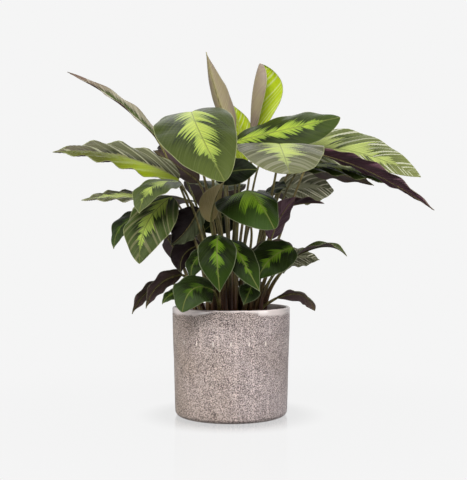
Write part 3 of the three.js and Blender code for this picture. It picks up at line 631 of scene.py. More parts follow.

# %% [markdown]
# ## The upper side of a leaf
#
# A calathea leaf is waxy, so it is satin: light slides along its pleats. Its ground is dark green.
# Round the midrib lie lime arrowheads, one behind the other. Each arrowhead reaches out furthest
# where it starts and shrinks towards the next, so along the vein numbers its reach is a saw blade.
# It is feathered as well, because every vein carries the lime a little further or less far than
# its neighbour, in long thin barbs. The margin is a thin pale line, and the fine veins show as
# lines. Depths are shares of the half's width.
#
# All leaves share one network. Each finish only gives it other colours and amounts: the crown,
# which is paler and more olive, the deep green leaves low in the shade, leaves with cream or
# silver stripes along their pleats, which are painted sheen, some of them also painted lighter to
# make up for the shade they stand in, the nearly black ones, which are painted shade deep inside
# the plant, one leaf with a half painted lime as if lit through from behind, and the young
# leaves, still lime all over, a colour that also paints the light shining through them.

# %% Colours and amounts of each finish
ARROWHEADS = 3.3
BARB_DEPTH, TOOTH_DEPTH, UNEVENNESS, EDGE_DRAWN_IN = 0.28, 0.32, 0.3, 0.47
SATIN = (0.36, 0.54)
SHARED = dict(
    dark="#1a2209", ground="#333c14", lime="#95a145", tips="#73843a", stripe="#4a522c", stripes=0.3,
    rate=1.1, midrib="#626736", margin="#84885f", tip_end="#444e20", reach=1.0, arrows=1.0,
    gloss=0.1, under="#655255", under_veins="#7d6a64", under_midrib="#6f6543",
    under_tint="#544537",
)
FINISHES = {
    "crown": dict(SHARED, arrows=0.6, reach=0.95),
    "bright": dict(SHARED, dark="#181f05", ground="#2a350a", lime="#91a436", tips="#6a802d",
         stripe="#414d1d", tip_end="#344216", reach=0.85, arrows=0.7),
    # painted sheen: a grey ground and strong pale stripes stand in for light glancing off the
    # pleats
    "silvery": dict(SHARED, dark="#292a17", ground="#45462e", lime="#939f4b", tips="#7a8350",
         stripe="#70705a", stripes=0.9, rate=0.7, tip_end="#595b3d", reach=1.15, arrows=0.35,
         gloss=0.14),
    # painted highlights: the pale stripes stand in for light on the crests of the pleats
    "pale": dict(SHARED, dark="#2e3815", ground="#5a6136", lime="#98a45a", tips="#868f52",
         stripe="#c3c3ac", stripes=0.65, rate=1.0, tip_end="#6c7240", reach=1.2, gloss=0.16),
    "deep": dict(SHARED, dark="#0b1102", ground="#182304", lime="#5a771a", tips="#3f580f",
         stripe="#303c1a", stripes=0.25, reach=0.75, margin="#71785a", tip_end="#2c4012",
         gloss=0.07),
    "radiant": dict(SHARED, dark="#0b1102", ground="#182304", lime="#6c8a20", tips="#456012",
         stripe="#303c1a", stripes=0.25, reach=1.25, arrows=0.6, margin="#71785a",
         tip_end="#2c4012", gloss=0.07),
    "plain": dict(SHARED, dark="#0e1403", ground="#1a2607", lime="#3c5412", tips="#2e430d",
         stripe="#3f4c2b", stripes=0.3, reach=0.7, margin="#71785a", tip_end="#394a26", gloss=0.09),
    "mid": dict(SHARED, dark="#1a220b", ground="#3c4720", lime="#95a34a", tips="#6f7f3c",
         stripe="#5c6242", stripes=0.3, tip_end="#4a5430", reach=0.85),
    "streaked": dict(SHARED, dark="#161f08", ground="#38451b", lime="#9fb04c", tips="#788c3c",
         stripe="#87825f", stripes=0.4, rate=0.55, tip_end="#4a5430", reach=0.8, arrows=0.7),
    # painted light: the whole finish is lighter to make up for the shade these leaves stand in, and
    # the cream stripes are partly painted sheen along the pleats
    "striped": dict(SHARED, dark="#5e6048", ground="#8c8d70", lime="#a6a686", tips="#96987a",
         stripe="#dedbc0", stripes=1.0, rate=0.6, tip_end="#5f6244", reach=0.6, arrows=0.3,
         midrib="#a3a383", gloss=0.16),
    # painted shade: near-black leaves, upper and under side, that stand in for the shade deep
    # inside the plant
    "black": dict(SHARED, dark="#0a0d05", ground="#151b0c", lime="#27331a", tips="#1f2812",
         stripe="#39402e", stripes=0.4, tip_end="#1f2a10", reach=0.6, gloss=0.1, under="#2b1d20",
         under_veins="#3d2e2e", under_midrib="#3b3426", under_tint="#241b16"),
    # painted shade: the under colours are a near-black shaded back; under_half is the greener other
    # half
    "frilled": dict(SHARED, dark="#0a0d05", ground="#151b0c", stripe="#39402e", margin="#8f9474",
         under="#26181c", under_veins="#33242a", under_midrib="#2b2418", under_tint="#1c1210",
         under_half="#66704c"),
    # painted sheen in the grey stripes of one half; the lime of the other half is painted light
    # shining through the blade from behind
    "painted_sheen_and_backlight": dict(SHARED, dark="#2a2b18", ground="#54563b", lime="#6f6f3c", tips="#6a6a42",
         stripe="#86866d", stripes=0.95, rate=0.8, tip_end="#554e40", reach=0.35,
         painted_backlight_half=("#7a880a", "#4c501d"), under="#6b4c48", gloss=0.14),
    "purple": dict(SHARED, dark="#0f1406", ground="#22280f", margin="#8d7f66", under="#5f3f49",
         under_veins="#805e69", under_midrib="#75525e", under_tint="#35232a"),
    "fading": dict(SHARED, dark="#2f3818", ground="#847e6a", lime="#33411a", tips="#4d552f",
         stripe="#a09a86", stripes=0.5, rate=0.8, tip_end="#614844", reach=0.7, arrows=0.2,
         under="#6b4c4c", under_veins="#8d7c6c", under_midrib="#5d4a3c", under_tint="#553a3a",
         margin="#6b5a48"),
    "khaki": dict(SHARED, dark="#18210a", ground="#33400f", stripe="#4c5626", tip_end="#3c4a16",
         reach=0.6, lime="#6f8a26", tips="#52691a", margin="#a9a27c", under="#8b7d52",
         under_veins="#a39868", under_midrib="#9a8f60", under_tint="#77693f"),
    # the lime all over also paints the light that shines through these thin young blades
    "young": dict(SHARED, dark="#95a51c", ground="#a9ba2c", lime="#b6c34e", tips="#adbb40",
         stripe="#d9deb0", stripes=0.4, rate=0.8, midrib="#a3a860", margin="#a5a878",
         tip_end="#aabd18", reach=0.6, arrows=0.0, under="#82755a", under_veins="#94906a",
         under_midrib="#8f8860", under_tint="#7c6a62"),
}
print("finishes:", ", ".join(FINISHES))


# %% [markdown]
# ### Noise along the veins
#
# The patterns of a leaf follow its veins, so their noise is one-dimensional: it reads the vein
# number alone and stays the same all along a vein. The leaf's own number shifts it, so no two
# leaves are alike. A zigzag of the vein number makes barbs, and noise moves the zigzag about.

# %% Upper sides
def vein_noise(add, vein, number, per_vein, detail=1.0):
    """Noise that changes only from vein to vein, per_vein times between neighbours."""
    place = add("Math", [vein, number], operation="ADD")
    return add("TexNoise", {"W": place, "Scale": VEINS * per_vein, "Detail": detail},
               noise_dimensions="1D")


def arrowhead_reach(add, vein, half, number, depth):
    """How far out the arrowheads go along each vein, as a share of the half width. A depth of 0
    evens them out to one long feather."""
    stagger = add("Math", [half, 0.2, number], operation="MULTIPLY_ADD")
    place = add("Math", [vein, ARROWHEADS, stagger], operation="MULTIPLY_ADD")
    within = add("Math", [place], operation="FRACT")
    shrink = add("MapRange", [within, 0, 1, 0.64, 0.08])
    opened = add("MapRange", [within, 0, 0.1, 0.15])
    saw = add("Math", [shrink, opened], operation="MULTIPLY")
    return add("Mix", [depth, 0.4, saw])


def zigzag(add, vein, number, per_vein, wander):
    """A saw of thin teeth along the vein number, from 0 to 1, moved about by wander."""
    place = add("Math", [vein, VEINS * per_vein, wander], operation="MULTIPLY_ADD")
    teeth = add("Math", [place, 0.5], operation="PINGPONG")
    return add("Math", [teeth, 2], operation="MULTIPLY")


def painted(add, colour, tint, strength, distance, near, far):
    """The colour, with a tint over it that fades out from near to far, in millimetres."""
    share = add("MapRange", [distance, near, far, strength, 0])
    return add("Mix", [share, colour, tint], **COLOUR)


def upper_side(name, finish):
    material, add = new_material(name)
    read = {a: add("Attribute", attribute_name=a).outputs["Fac"] for a in ATTRIBUTES}
    vein, reach, number = read["vein"], read["reach"], read["leaf_number"]
    sided = add("Math", [read["half"], 7.3, number], operation="MULTIPLY_ADD")
    coarse = vein_noise(add, vein, sided, 0.5)
    fine = vein_noise(add, vein, sided, 3.5, 2.0)
    wander = add("Math", [coarse, 2.4], operation="MULTIPLY")

    # the edge of the lime: arrowheads, their long barbs, and fine ragged teeth
    arrows = arrowhead_reach(add, vein, read["half"], number, finish["arrows"])
    barbs = zigzag(add, vein, sided, 0.85, wander)
    edge = add("Math", [arrows, EDGE_DRAWN_IN], operation="SUBTRACT")
    for part, depth in ((barbs, BARB_DEPTH), (fine, TOOTH_DEPTH), (coarse, UNEVENNESS)):
        edge = add("Math", [part, depth, edge], operation="MULTIPLY_ADD")
    tipward = add("MapRange", [vein, 0.45, 0.97, finish["reach"], 0], **SMOOTH)
    edge = add("Math", [edge, tipward], operation="MULTIPLY")
    beyond = add("Math", [reach, edge], operation="SUBTRACT")
    inside = add("MapRange", [beyond, -0.05, 0.02, 1, 0], **SMOOTH)
    started = add("MapRange", [vein, -0.16, 0.0])
    lime = add("Math", [inside, started], operation="MULTIPLY")

    # the ground, darkest next to the lime, with paler stripes along the pleats; on the grey and
    # cream striped finishes these stripes are painted sheen
    fade = add("MapRange", [beyond, 0, 0.4], **SMOOTH)
    place = add("TexCoord").outputs["Object"]
    clouds = add("TexNoise", {"Vector": place, "Scale": 30, "Detail": 3})
    cloudy = add("Math", [clouds, 0.7, fade], operation="MULTIPLY_ADD")
    cloudy = add("Math", [cloudy, 0.4], operation="SUBTRACT", use_clamp=True)
    ground = add("Mix", [cloudy, finish["dark"], finish["ground"]], **COLOUR)
    tipward = add("MapRange", [read["along"], 0.55, 0.95])
    ground = add("Mix", [tipward, ground, finish["tip_end"]], **COLOUR)
    stripes = vein_noise(add, vein, sided, finish["rate"], 1.5)
    striped = add("MapRange", [stripes, 0.5, 0.66, 0, finish["stripes"]], **SMOOTH)
    ground = add("Mix", [striped, ground, finish["stripe"]], **COLOUR)

    # the lime fades along each barb
    worn = add("MapRange", [beyond, -0.3, -0.02])
    green = add("Mix", [worn, finish["lime"], finish["tips"]], **COLOUR)
    colour = add("Mix", [lime, ground, green], **COLOUR)
    # painted light: this half is lime at its foot and olive towards the tip, standing in for light
    # shining through the blade from behind
    if "painted_backlight_half" in finish:
        foot, tip = finish["painted_backlight_half"]
        turned = add("MapRange", [read["along"], 0.3, 0.6])
        other = add("Mix", [turned, foot, tip], **COLOUR)
        colour = add("Mix", [read["half"], other, colour], **COLOUR)

    # fine streaks, then midrib and margin over everything
    streak = add("MapRange", [fine, 0.3, 0.7, 0.8, 1.18])
    colour = add("Mix", [1, colour, streak], **COLOUR, blend_type="MULTIPLY")
    colour = painted(add, colour, finish["midrib"], 0.8, read["centre_mm"], 0.5, 1.2)
    colour = painted(add, colour, finish["margin"], 0.75, read["margin_mm"], 0.5, 1.6)

    # fine veins stand up a little between the pleats
    height = add("Math", [barbs, 0.3, fine], operation="MULTIPLY_ADD")
    bump = add("Bump", {"Strength": 0.6, "Distance": 0.4 * MM, "Height": height})
    satin = add("MapRange", [clouds, 0, 1, *SATIN])
    shader = add("BsdfPrincipled", {"Base Color": colour, "Roughness": satin, "IOR": 1.45,
                                    "Specular IOR Level": finish["gloss"], "Normal": bump})
    add("OutputMaterial", {"Surface": shader})
    return material


# %% [markdown]
# ## The underside, the margin and the stalk
#
# The back of a calathea leaf is dull purple, because pigment there throws light back into the leaf
# in the deep shade where it grows. It is matt, with paler veins. The thin edge of the blade is
# pale. The stalks are olive above and red-brown below, where they are wrapped in a sheath, and
# they are streaked along their length.

# %% Undersides, margins and stalks
def under_side(name, finish):
    material, add = new_material(name)
    read = {a: add("Attribute", attribute_name=a).outputs["Fac"] for a in ATTRIBUTES}
    fine = vein_noise(add, read["vein"], read["leaf_number"], 2.2, 2.0)
    place = add("TexCoord").outputs["Object"]
    clouds = add("TexNoise", {"Vector": place, "Scale": 18, "Detail": 3})
    tinted = add("MapRange", [clouds, 0.42, 0.62])
    colour = add("Mix", [tinted, finish["under"], finish["under_tint"]], **COLOUR)
    if "under_half" in finish:
        colour = add("Mix", [read["half"], colour, finish["under_half"]], **COLOUR)
    veined = add("MapRange", [fine, 0.45, 0.7, 0, 0.6])
    colour = add("Mix", [veined, colour, finish["under_veins"]], **COLOUR)
    colour = painted(add, colour, finish["under_midrib"], 0.6, read["centre_mm"], 1, 5)
    colour = painted(add, colour, finish["margin"], 0.45, read["margin_mm"], 0.3, 1.2)
    bump = add("Bump", {"Strength": 0.6, "Distance": 0.4 * MM, "Height": fine})
    shader = add("BsdfPrincipled", {"Base Color": colour, "Roughness": 0.5, "IOR": 1.4,
                                    "Specular IOR Level": 0.35, "Normal": bump})
    add("OutputMaterial", {"Surface": shader})
    return material


def leaf_margin(name, finish):
    material, add = new_material(name)
    place = add("TexCoord").outputs["Object"]
    dry = add("TexNoise", {"Vector": place, "Scale": 60, "Detail": 2})
    colour = add("Mix", [dry, finish["margin"], "#6b5b43"], **COLOUR)
    shader = add("BsdfPrincipled", {"Base Color": colour, "Roughness": 0.5})
    add("OutputMaterial", {"Surface": shader})
    return material


STALK_FOOT, STALK_HEAD = ("#2c140c", "#6c4224"), ("#565c26", "#8c7d50")


def stalk_skin(name):
    material, add = new_material(name)
    read = {a: add("Attribute", attribute_name=a).outputs["Fac"] for a in ATTRIBUTES}
    place = add("TexCoord").outputs["Object"]
    stretched = add("Mapping", {"Vector": place, "Scale": (420, 420, 14)})
    streaks = add("TexNoise", {"Vector": stretched, "Scale": 1, "Detail": 3})
    own = add("TexWhiteNoise", {"W": read["leaf_number"]}, noise_dimensions="1D")
    foot = add("Mix", [own, STALK_FOOT[0], STALK_FOOT[1]], **COLOUR)
    head = add("Mix", [own, STALK_HEAD[0], STALK_HEAD[1]], **COLOUR)
    green = add("Math", [own, 0.5, read["along"]], operation="MULTIPLY_ADD")
    green = add("MapRange", [green, 0.3, 0.75], **SMOOTH)
    ramp = add("Mix", [green, foot, head], **COLOUR)
    shade = add("MapRange", [streaks, 0.3, 0.7, 0.45, 1.35])
    colour = add("Mix", [1, ramp, shade], **COLOUR, blend_type="MULTIPLY")
    bump = add("Bump", {"Strength": 0.5, "Distance": 0.4 * MM, "Height": streaks})
    shader = add("BsdfPrincipled", {"Base Color": colour, "Roughness": 0.42,
                                    "Specular IOR Level": 0.35, "Normal": bump})
    add("OutputMaterial", {"Surface": shader})
    return material


stalk = stalk_skin("stalk_skin")
LEAF_MATERIALS = {
    kind: [upper_side("leaf_upper_" + kind, finish), under_side("leaf_under_" + kind, finish),
           leaf_margin("leaf_margin_" + kind, finish), stalk]
    for kind, finish in FINISHES.items()
}
print("leaf materials:", 3 * len(LEAF_MATERIALS) + 1)

# %% Make the leaves
KINDS = {
    "crown": ("crown_front_left", "back_high_left", "back_high_right"),
    "bright": ("crown_right", "side_right_under", "back_right"),
    "silvery": ("crown_front", "left_striped"),
    "radiant": ("centre",),
    "pale": ("side_right",),
    "plain": ("rim_left_lower", "rim_centre", "rim_left_dark", "rim_left_upper", "left_behind"),
    "mid": ("left_small", "back_middle", "back_side_left", "back_side_right",
            "back_left", "low_far_right"),
    "streaked": ("left_large",),
    "purple": ("side_right_folded", "right_folded", "centre_upright"),
    "fading": ("crown_far_left",),
    "frilled": ("low_dark_upper",),
    "striped": ("right_striped", "low_striped_right", "back_upright"),
    "black": ("low_dark_lower", "centre_behind", "centre_upper", "centre_back"),
    "painted_sheen_and_backlight": ("side_left",),
    "khaki": ("centre_curled",),
    "young": ("spear_left", "spear_right", "spear_low"),
}
kind_of = {name: kind for kind, names in KINDS.items() for name in names}

for number, (name, leaf) in enumerate(LEAVES.items()):
    leaf["slant"] = OWN_SLANTS.get(name, VEIN_SLANT)
    points = [midrib(leaf, i / 20)[0] for i in range(21)]
    length = sum((b - a).length for a, b in zip(points, points[1:]))
    bm = bmesh.new()
    for attribute in ATTRIBUTES:
        bm.verts.layers.float.new(attribute)
    add_blade(bm, leaf, 0.37 * number, length, DEEP_PLEATS_MM.get(name, PLEAT_MM))
    add_tube(bm, leaf, feet[name], 0.37 * number)
    piece = finished_mesh(bm, "grown_leaf_" + name, LEAF_MATERIALS[kind_of.get(name, "deep")])
    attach(piece, "root")
    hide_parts("leaf_" + name)
print("leaves made, each with", len(piece.data.polygons), "faces")

# %% [markdown]
# ## The cover pot
#
# The pot is stoneware, thrown or cast with straight sides and a rounded lip. Its profile is drawn
# as a line of points, with arcs at the corners, and spun round the upright axis. The hand leaves
# its trace: the wall wanders by a few tenths of a millimetre.

# %% Cover pot
POT_RIM, POT_FOOT, POT_HEIGHT = 100, 95, 183
POT_WALL, POT_FLOOR = 6, 8
FOOT_ROUNDING, LIP_ROUNDING = 9, 2.6
POT_STEPS = 144


def arc(x, z, radius, start, end, steps=6):
    """Points of an arc round x, z between two angles in degrees."""
    turns = [math.radians(mix(start, end, i / steps)) for i in range(steps + 1)]
    return [(x + radius * math.cos(turn), z + radius * math.sin(turn)) for turn in turns]


def line(start, end, steps):
    """Points between two corners, without the corners themselves."""
    return [tuple(mix(a, b, i / steps) for a, b in zip(start, end)) for i in range(1, steps)]


def spun(profile, steps):
    """A bmesh of the profile, given as radius and height in millimetres, spun round the Z axis."""
    bm = bmesh.new()
    verts = [bm.verts.new((x * MM, 0, z * MM)) for x, z in profile]
    edges = [bm.edges.new(pair) for pair in zip(verts, verts[1:])]
    bmesh.ops.spin(bm, geom=verts + edges, cent=(0, 0, 0), axis=(0, 0, 1), angle=2 * math.pi,
                   steps=steps, use_merge=True)
    bmesh.ops.remove_doubles(bm, verts=bm.verts[:], dist=1e-6)
    bmesh.ops.recalc_face_normals(bm, faces=bm.faces[:])
    return bm


inner = POT_RIM - POT_WALL
foot_arc = arc(POT_FOOT - FOOT_ROUNDING, FOOT_ROUNDING, FOOT_ROUNDING, -90, 0)
lip_arc = arc(POT_RIM - LIP_ROUNDING, POT_HEIGHT - LIP_ROUNDING, LIP_ROUNDING, 0, 90)
inner_arc = arc(inner + LIP_ROUNDING, POT_HEIGHT - LIP_ROUNDING, LIP_ROUNDING, 90, 180)
well_arc = arc(POT_FOOT - POT_WALL - 5, POT_FLOOR + 5, 5, 0, -90)
outside, inside = line(foot_arc[-1], lip_arc[0], 40), line(inner_arc[-1], well_arc[0], 16)
pot_profile = [(0, 0), (40, 0), *foot_arc, *outside, *lip_arc, *inner_arc, *inside, *well_arc,
               (40, POT_FLOOR), (0, POT_FLOOR)]
bm = spun(pot_profile, POT_STEPS)
for vert in bm.verts:
    outward = Vector((vert.co.x, vert.co.y, 0))
    if outward.length > 50 * MM:
        waver = noise.noise(vert.co * 18) * 0.5 + noise.noise(vert.co * 60) * 0.15
        vert.co += outward.normalized() * waver * smooth(1, 20, vert.co.z / MM) * MM
cover_pot_bm = bm
print("cover pot:", len(bm.faces), "faces")

# %% [markdown]
# ### Its glaze
#
# The glaze is a reactive one. In the kiln it broke up into cream worms and flecks on a mauve-brown
# ground, a few millimetres long, and near the lip it ran thin and smooth, so the rim is a plain
# pale band with an uneven lower edge. Here and there a run of glaze left a faint upright streak.
# The flecks stand up a little, and the coat is glossy on the band and duller below it.

# %% Glaze
FLECK_MM = 1.25
BAND_MM = 10
DRIPS = 21
DRIP_HEIGHT = 129
RUN_OFFSET = -0.27


def near_upright_lines(add, axes, offset, wander):
    """The distance in metres to the nearest of the evenly spaced upright lines round the pot."""
    forward = add("Math", [axes.outputs["Y"], -1], operation="MULTIPLY")
    turn = add("Math", [axes.outputs["X"], forward], operation="ARCTAN2")
    line = add("Math", [turn, DRIPS / (2 * math.pi), offset], operation="MULTIPLY_ADD")
    line = add("Math", [wander, 0.12, line], operation="MULTIPLY_ADD")
    apart = add("Math", [line, 0.5], operation="PINGPONG")
    return add("Math", [apart, 2 * math.pi * POT_RIM * MM / DRIPS], operation="MULTIPLY")


def reactive_glaze(name):
    material, add = new_material(name)
    place = add("TexCoord").outputs["Object"]
    axes = add("SeparateXYZ", {"Vector": place})
    flecks = add("TexNoise", {"Vector": place, "Scale": 1 / (FLECK_MM * MM), "Detail": 2.5,
                              "Roughness": 0.6, "Distortion": 0.4})
    broad = add("TexNoise", {"Vector": place, "Scale": 14, "Detail": 3})
    patches = add("TexNoise", {"Vector": place, "Scale": 45, "Detail": 4})

    # upright runs, and a row of short raised drips below the rim; their near-white colour also
    # paints the highlights on them
    wander = add("Math", [patches, 0.5], operation="SUBTRACT")
    from_run = near_upright_lines(add, axes, RUN_OFFSET, wander)
    run = add("MapRange", [from_run, 0.5 * MM, 3 * MM, 0.035, 0], **SMOOTH)
    kept = add("MapRange", [broad, 0.45, 0.6])
    run = add("Math", [run, kept], operation="MULTIPLY")
    from_drip = near_upright_lines(add, axes, 0, wander)
    drip = add("MapRange", [from_drip, 0.4 * MM, 1.3 * MM, 1, 0], **SMOOTH)
    above = add("Math", [axes.outputs["Z"], DRIP_HEIGHT * MM], operation="SUBTRACT")
    above = add("Math", [above], operation="ABSOLUTE")
    short = add("MapRange", [above, 2 * MM, 5 * MM, 1, 0])
    drip = add("Math", [drip, short], operation="MULTIPLY")

    amount = add("Math", [patches, 0.05, flecks], operation="MULTIPLY_ADD")
    amount = add("Math", [amount, run], operation="ADD")
    pale = add("MapRange", [amount, 0.48, 0.58], **SMOOTH)
    # painted light: the ground and the cream turn lighter towards the right side of the pot, where
    # more light falls, mixed with broad random patches
    side = add("Math", [axes.outputs["X"], 3.5, broad], operation="MULTIPLY_ADD")
    ground = add("Mix", [side, "#33251e", "#56484b"], **COLOUR)
    cream = add("Mix", [side, "#d0bcad", "#e6d7d5"], **COLOUR)
    mottled = add("Mix", [pale, ground, cream], **COLOUR)
    # painted highlight: the drips are near-white, brighter than the cream flecks, for the light on
    # them
    mottled = add("Mix", [drip, mottled, "#f3eae0"], **COLOUR)

    # the smooth band at the rim, thin at the front and back and deep at the sides
    aside = add("Math", [axes.outputs["X"]], operation="ABSOLUTE")
    deep = add("MapRange", [aside, 0.02, 0.06, (POT_HEIGHT - BAND_MM * 0.35) * MM,
                            (POT_HEIGHT - BAND_MM * 1.1) * MM], **SMOOTH)
    edge = add("Math", [wander, 14 * MM, deep], operation="MULTIPLY_ADD")
    full = add("Math", [edge, 4 * MM], operation="ADD")
    band = add("MapRange", [axes.outputs["Z"], edge, full], **SMOOTH)
    rim = add("Mix", [patches, "#d8c9c5", "#f0e5e1"], **COLOUR)
    colour = add("Mix", [band, mottled, rim], **COLOUR)
    rough = add("MapRange", [band, 0, 1, 0.42, 0.16])
    smoothed = add("MapRange", [band, 0, 1, 1, 0.1])
    raised = add("Math", [drip, 2, pale], operation="MULTIPLY_ADD")
    height = add("Math", [raised, smoothed], operation="MULTIPLY")
    bump = add("Bump", {"Strength": 0.6, "Distance": 0.25 * MM, "Height": height})
    shine = add("MapRange", [band, 0, 1, 0.5, 1.0])
    shader = add("BsdfPrincipled", {"Base Color": colour, "Roughness": rough, "IOR": 1.5,
                                    "Specular IOR Level": shine, "Normal": bump})
    add("OutputMaterial", {"Surface": shader})
    return material


cover_pot = finished_mesh(cover_pot_bm, "glazed_cover_pot", [reactive_glaze("reactive_glaze")])
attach(cover_pot, "root")
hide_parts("cover_pot")

# %% [markdown]
# ## The grow pot
#
# Inside stands the thin pot that the plant grew up in, moulded in black polypropylene with drain
# holes in its floor. Only its rim shows, in the gap inside the cover pot. Its profile is spun like
# the cover pot's, and the holes are cut by a boolean modifier.

# %% Grow pot
GROW_RIM, GROW_FOOT, GROW_HEIGHT = 90, 80, 164
GROW_WALL, GROW_RIM_WIDTH, GROW_RIM_HEIGHT = 1.6, 3.4, 8
GROW_STANDS_AT = POT_FLOOR + 0.3
DRAIN_HOLES, DRAIN_RADIUS, DRAIN_CIRCLE = 5, 6, 52


def moulded_plastic(name):
    material, add = new_material(name)
    place = add("TexCoord").outputs["Object"]
    dust = add("TexNoise", {"Vector": place, "Scale": 90, "Detail": 4})
    colour = add("Mix", [dust, "#141314", "#2b2826"], **COLOUR)
    rough = add("MapRange", [dust, 0, 1, 0.45, 0.65])
    shader = add("BsdfPrincipled", {"Base Color": colour, "Roughness": rough, "IOR": 1.49})
    add("OutputMaterial", {"Surface": shader})
    return material


grow_top = GROW_STANDS_AT + GROW_HEIGHT
under_rim = grow_top - GROW_RIM_HEIGHT
grow_profile = [
    (0, GROW_STANDS_AT), *arc(GROW_FOOT - 3, GROW_STANDS_AT + 3, 3, -90, 0, 4),
    (GROW_RIM - GROW_RIM_WIDTH, under_rim), *arc(GROW_RIM - 0.6, under_rim + 0.6, 0.6, -90, 0, 2),
    *arc(GROW_RIM - 0.8, grow_top - 0.8, 0.8, 0, 90, 3),
    (GROW_RIM - GROW_RIM_WIDTH - GROW_WALL, grow_top),
    *arc(GROW_FOOT - GROW_WALL - 3, GROW_STANDS_AT + GROW_WALL + 3, 3, 0, -90, 4),
    (0, GROW_STANDS_AT + GROW_WALL),
]
grow_plastic = moulded_plastic("black_polypropylene")
grow_pot = finished_mesh(spun(grow_profile, 96), "moulded_grow_pot", [grow_plastic])
drill = bmesh.new()
for k in range(DRAIN_HOLES):
    turn = 2 * math.pi * k / DRAIN_HOLES
    pin = bmesh.ops.create_cone(drill, cap_ends=True, segments=20, radius1=DRAIN_RADIUS * MM,
                                radius2=DRAIN_RADIUS * MM, depth=12 * MM)
    place = Vector((math.cos(turn) * DRAIN_CIRCLE, math.sin(turn) * DRAIN_CIRCLE, GROW_STANDS_AT))
    bmesh.ops.translate(drill, verts=pin["verts"], vec=place * MM)
drills = finished_mesh(drill, "drills", [])
cut = grow_pot.modifiers.new("drain_holes", "BOOLEAN")
cut.object = drills
cut.operation = "DIFFERENCE"
bpy.context.view_layer.update()
drilled = grow_pot.evaluated_get(bpy.context.evaluated_depsgraph_get())
cut_mesh = bpy.data.meshes.new_from_object(drilled)
grow_pot.modifiers.clear()
grow_pot.data = cut_mesh
bpy.data.objects.remove(drills)
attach(grow_pot, "root")
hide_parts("grow_pot")
print("grow pot:", len(grow_pot.data.polygons), "faces,", DRAIN_HOLES, "drain holes")

# %% [markdown]
# ## The potting mix
#
# The mix of peat, bark and fibre is dark, damp and crumbly. Its body is a spun plug that fills the
# grow pot, pushed up and down by noise at the top, and a few hundred crumbs lie on it: small balls
# with few faces, squeezed and turned at random from a fixed seed.

# %% Potting mix
CRUMBS = 320
MIX_GAP = 0.3


def damp_mix(name):
    material, add = new_material(name)
    place = add("TexCoord").outputs["Object"]
    grains = add("TexNoise", {"Vector": place, "Scale": 380, "Detail": 5, "Roughness": 0.7})
    lumps = add("TexNoise", {"Vector": place, "Scale": 120, "Detail": 2})
    dark = add("Mix", [grains, "#150e0a", "#4a372a"], **COLOUR)
    colour = add("Mix", [lumps, dark, "#2a1f18"], **COLOUR)
    bump = add("Bump", {"Strength": 1, "Distance": 1.5 * MM, "Height": grains})
    shader = add("BsdfPrincipled", {"Base Color": colour, "Roughness": 0.9, "Normal": bump})
    add("OutputMaterial", {"Surface": shader})
    return material


share = (SOIL_TOP - GROW_STANDS_AT) / GROW_HEIGHT
mix_radius = mix(GROW_FOOT, GROW_RIM - GROW_RIM_WIDTH, share) - GROW_WALL - MIX_GAP - 0.6
mix_bottom = GROW_STANDS_AT + GROW_WALL + MIX_GAP
mix_foot = GROW_FOOT - GROW_WALL - MIX_GAP - 3.5
steps = [i / 40 for i in range(39, -1, -1)]
tops = [(mix_radius * r, SOIL_TOP + SOIL_MOUND * (1 - r * r)) for r in steps]
mix_bm = spun([(0, mix_bottom), (mix_foot, mix_bottom), (mix_foot + 3, mix_bottom + 3),
               (mix_radius, SOIL_TOP), *tops], 110)
for vert in mix_bm.verts:
    if vert.co.z > (SOIL_TOP + 0.1) * MM:
        rough_ground = noise.noise(vert.co * 120) * 1.6 + noise.noise(vert.co * 320) * 0.8
        vert.co.z += rough_ground * MM
draw = random.Random(7)
for _ in range(CRUMBS):
    crumb = bmesh.ops.create_icosphere(mix_bm, subdivisions=1, radius=draw.uniform(0.9, 3.0) * MM)
    stretch = Vector([draw.uniform(0.6, 1.4) for _ in range(3)])
    bmesh.ops.scale(mix_bm, verts=crumb["verts"], vec=stretch)
    for vert in crumb["verts"]:
        vert.co *= draw.uniform(0.8, 1.2)
    turn, out = draw.uniform(0, 2 * math.pi), math.sqrt(draw.random()) * (mix_radius - 3)
    rest = SOIL_TOP + SOIL_MOUND * (1 - (out / mix_radius) ** 2) + 0.6
    place = Vector((out * math.cos(turn), out * math.sin(turn), rest))
    bmesh.ops.translate(mix_bm, verts=crumb["verts"], vec=place * MM)
potting_mix = finished_mesh(mix_bm, "potting_mix", [damp_mix("damp_potting_mix")])
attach(potting_mix, "root")
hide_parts("soil")
print("potting mix:", len(potting_mix.data.polygons), "faces")

# %% [markdown]
# ## Floor and light
#
# The plant stands in a white studio: a round pale sheet lies under it and curves up on all sides,
# so every view has the same plain ground. The sheet glows by itself, as a sheet that is lit from
# behind, with a faint gloss that mirrors the foot of the pot, and it takes no part in lighting the
# plant. The light comes from the world, bright above and behind and dim in front and below, and
# from four soft lamps: the key high in front, a weak fill on each side, and one behind that puts
# the silvery sheen on the leaves.

# %% Studio
SHEET_WHITE = "#f5f5f5"
FLAT_RADIUS, WALL_RADIUS, WALL_TOP = 3.4, 4.6, 7


def studio_sheet(name):
    material, add = new_material(name)
    place = add("TexCoord").outputs["Object"]
    away = add("VectorMath", [place], operation="LENGTH").outputs["Value"]
    glow = add("Emission", {"Color": SHEET_WHITE, "Strength": 0.985})
    matt = add("BsdfDiffuse", {"Color": "#1a1a1a"})
    lit = add("AddShader", [glow, matt])
    gloss = add("BsdfAnisotropic", {"Color": SHEET_WHITE, "Roughness": 0.14})
    mirrored = add("MapRange", [away, 0.098, 0.17, 0.38, 0.05], **SMOOTH)
    near = add("MixShader", [mirrored, lit, gloss])
    plain = add("Emission", {"Color": SHEET_WHITE, "Strength": 1.0})
    far = add("MapRange", [away, 0.2, 0.7], **SMOOTH)
    mixed = add("MixShader", [far, near, plain])
    add("OutputMaterial", {"Surface": mixed})
    return material


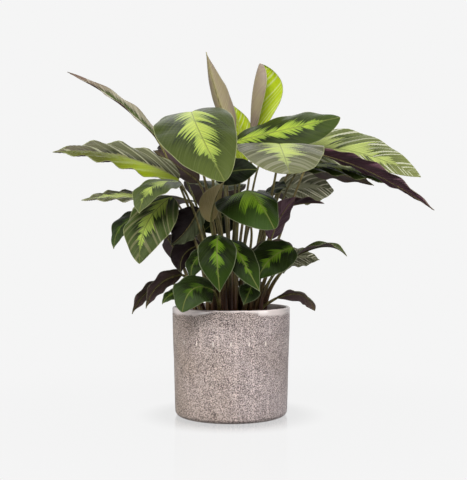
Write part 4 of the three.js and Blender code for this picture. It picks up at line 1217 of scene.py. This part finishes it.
bend = WALL_RADIUS - FLAT_RADIUS
sheet_profile = [(0, 0), (0.4, 0), (1.2, 0), (FLAT_RADIUS, 0)]
sheet_profile += arc(FLAT_RADIUS, bend, bend, -90, 0, 12)[1:] + [(WALL_RADIUS, WALL_TOP)]
sheet_bm = spun([(x / MM, z / MM) for x, z in sheet_profile], 72)
sheet = finished_mesh(sheet_bm, "studio_sheet", [studio_sheet("studio_sheet")])
sheet.visible_diffuse = sheet.visible_glossy = sheet.visible_shadow = False

world = bpy.data.worlds.new("studio")
world.use_nodes = True
world_tree = world.node_tree
add = partial(add_node, world_tree)
aim = add("SeparateXYZ", {"Vector": add("TexCoord").outputs["Generated"]})
above = add("MapRange", [aim.outputs["Z"], 0.0, 0.9, 0, 0.45], **SMOOTH)
behind = add("MapRange", [aim.outputs["Y"], -0.2, 0.7, 0.35, 0.6], **SMOOTH)
level = add("MapRange", [aim.outputs["Z"], -0.3, -0.02, 0.45, 1])
sides = add("Math", [behind, level], operation="MULTIPLY")
bright = add("Math", [sides, above], operation="ADD")
world_tree.links.new(bright.outputs[0], world_tree.nodes["Background"].inputs["Strength"])
world_tree.nodes["Background"].inputs["Color"].default_value = (1, 1, 1, 1)
scene.world = world


def soft_lamp(name, place, width, height, watts):
    """A rectangular lamp that looks at the middle of the plant and is itself not seen."""
    data = bpy.data.lights.new(name, "AREA")
    data.shape = "RECTANGLE"
    data.size, data.size_y = width, height
    data.energy = watts
    lamp = bpy.data.objects.new(name, data)
    lamp.location = place
    lamp.rotation_euler = (Vector((0, 0, 0.35)) - Vector(place)).to_track_quat("-Z", "Y").to_euler()
    lamp.visible_camera = False
    scene.collection.objects.link(lamp)


soft_lamp("key", (-0.3, -1.7, 1.95), 1.5, 1.1, 62)
soft_lamp("fill", (2.0, -1.0, 0.7), 1.0, 1.4, 16)
soft_lamp("low fill", (-1.7, -1.5, 0.5), 1.0, 1.2, 12)
soft_lamp("back", (0.1, 1.5, 1.7), 1.6, 0.8, 10)
scene.view_settings.view_transform = "Standard"
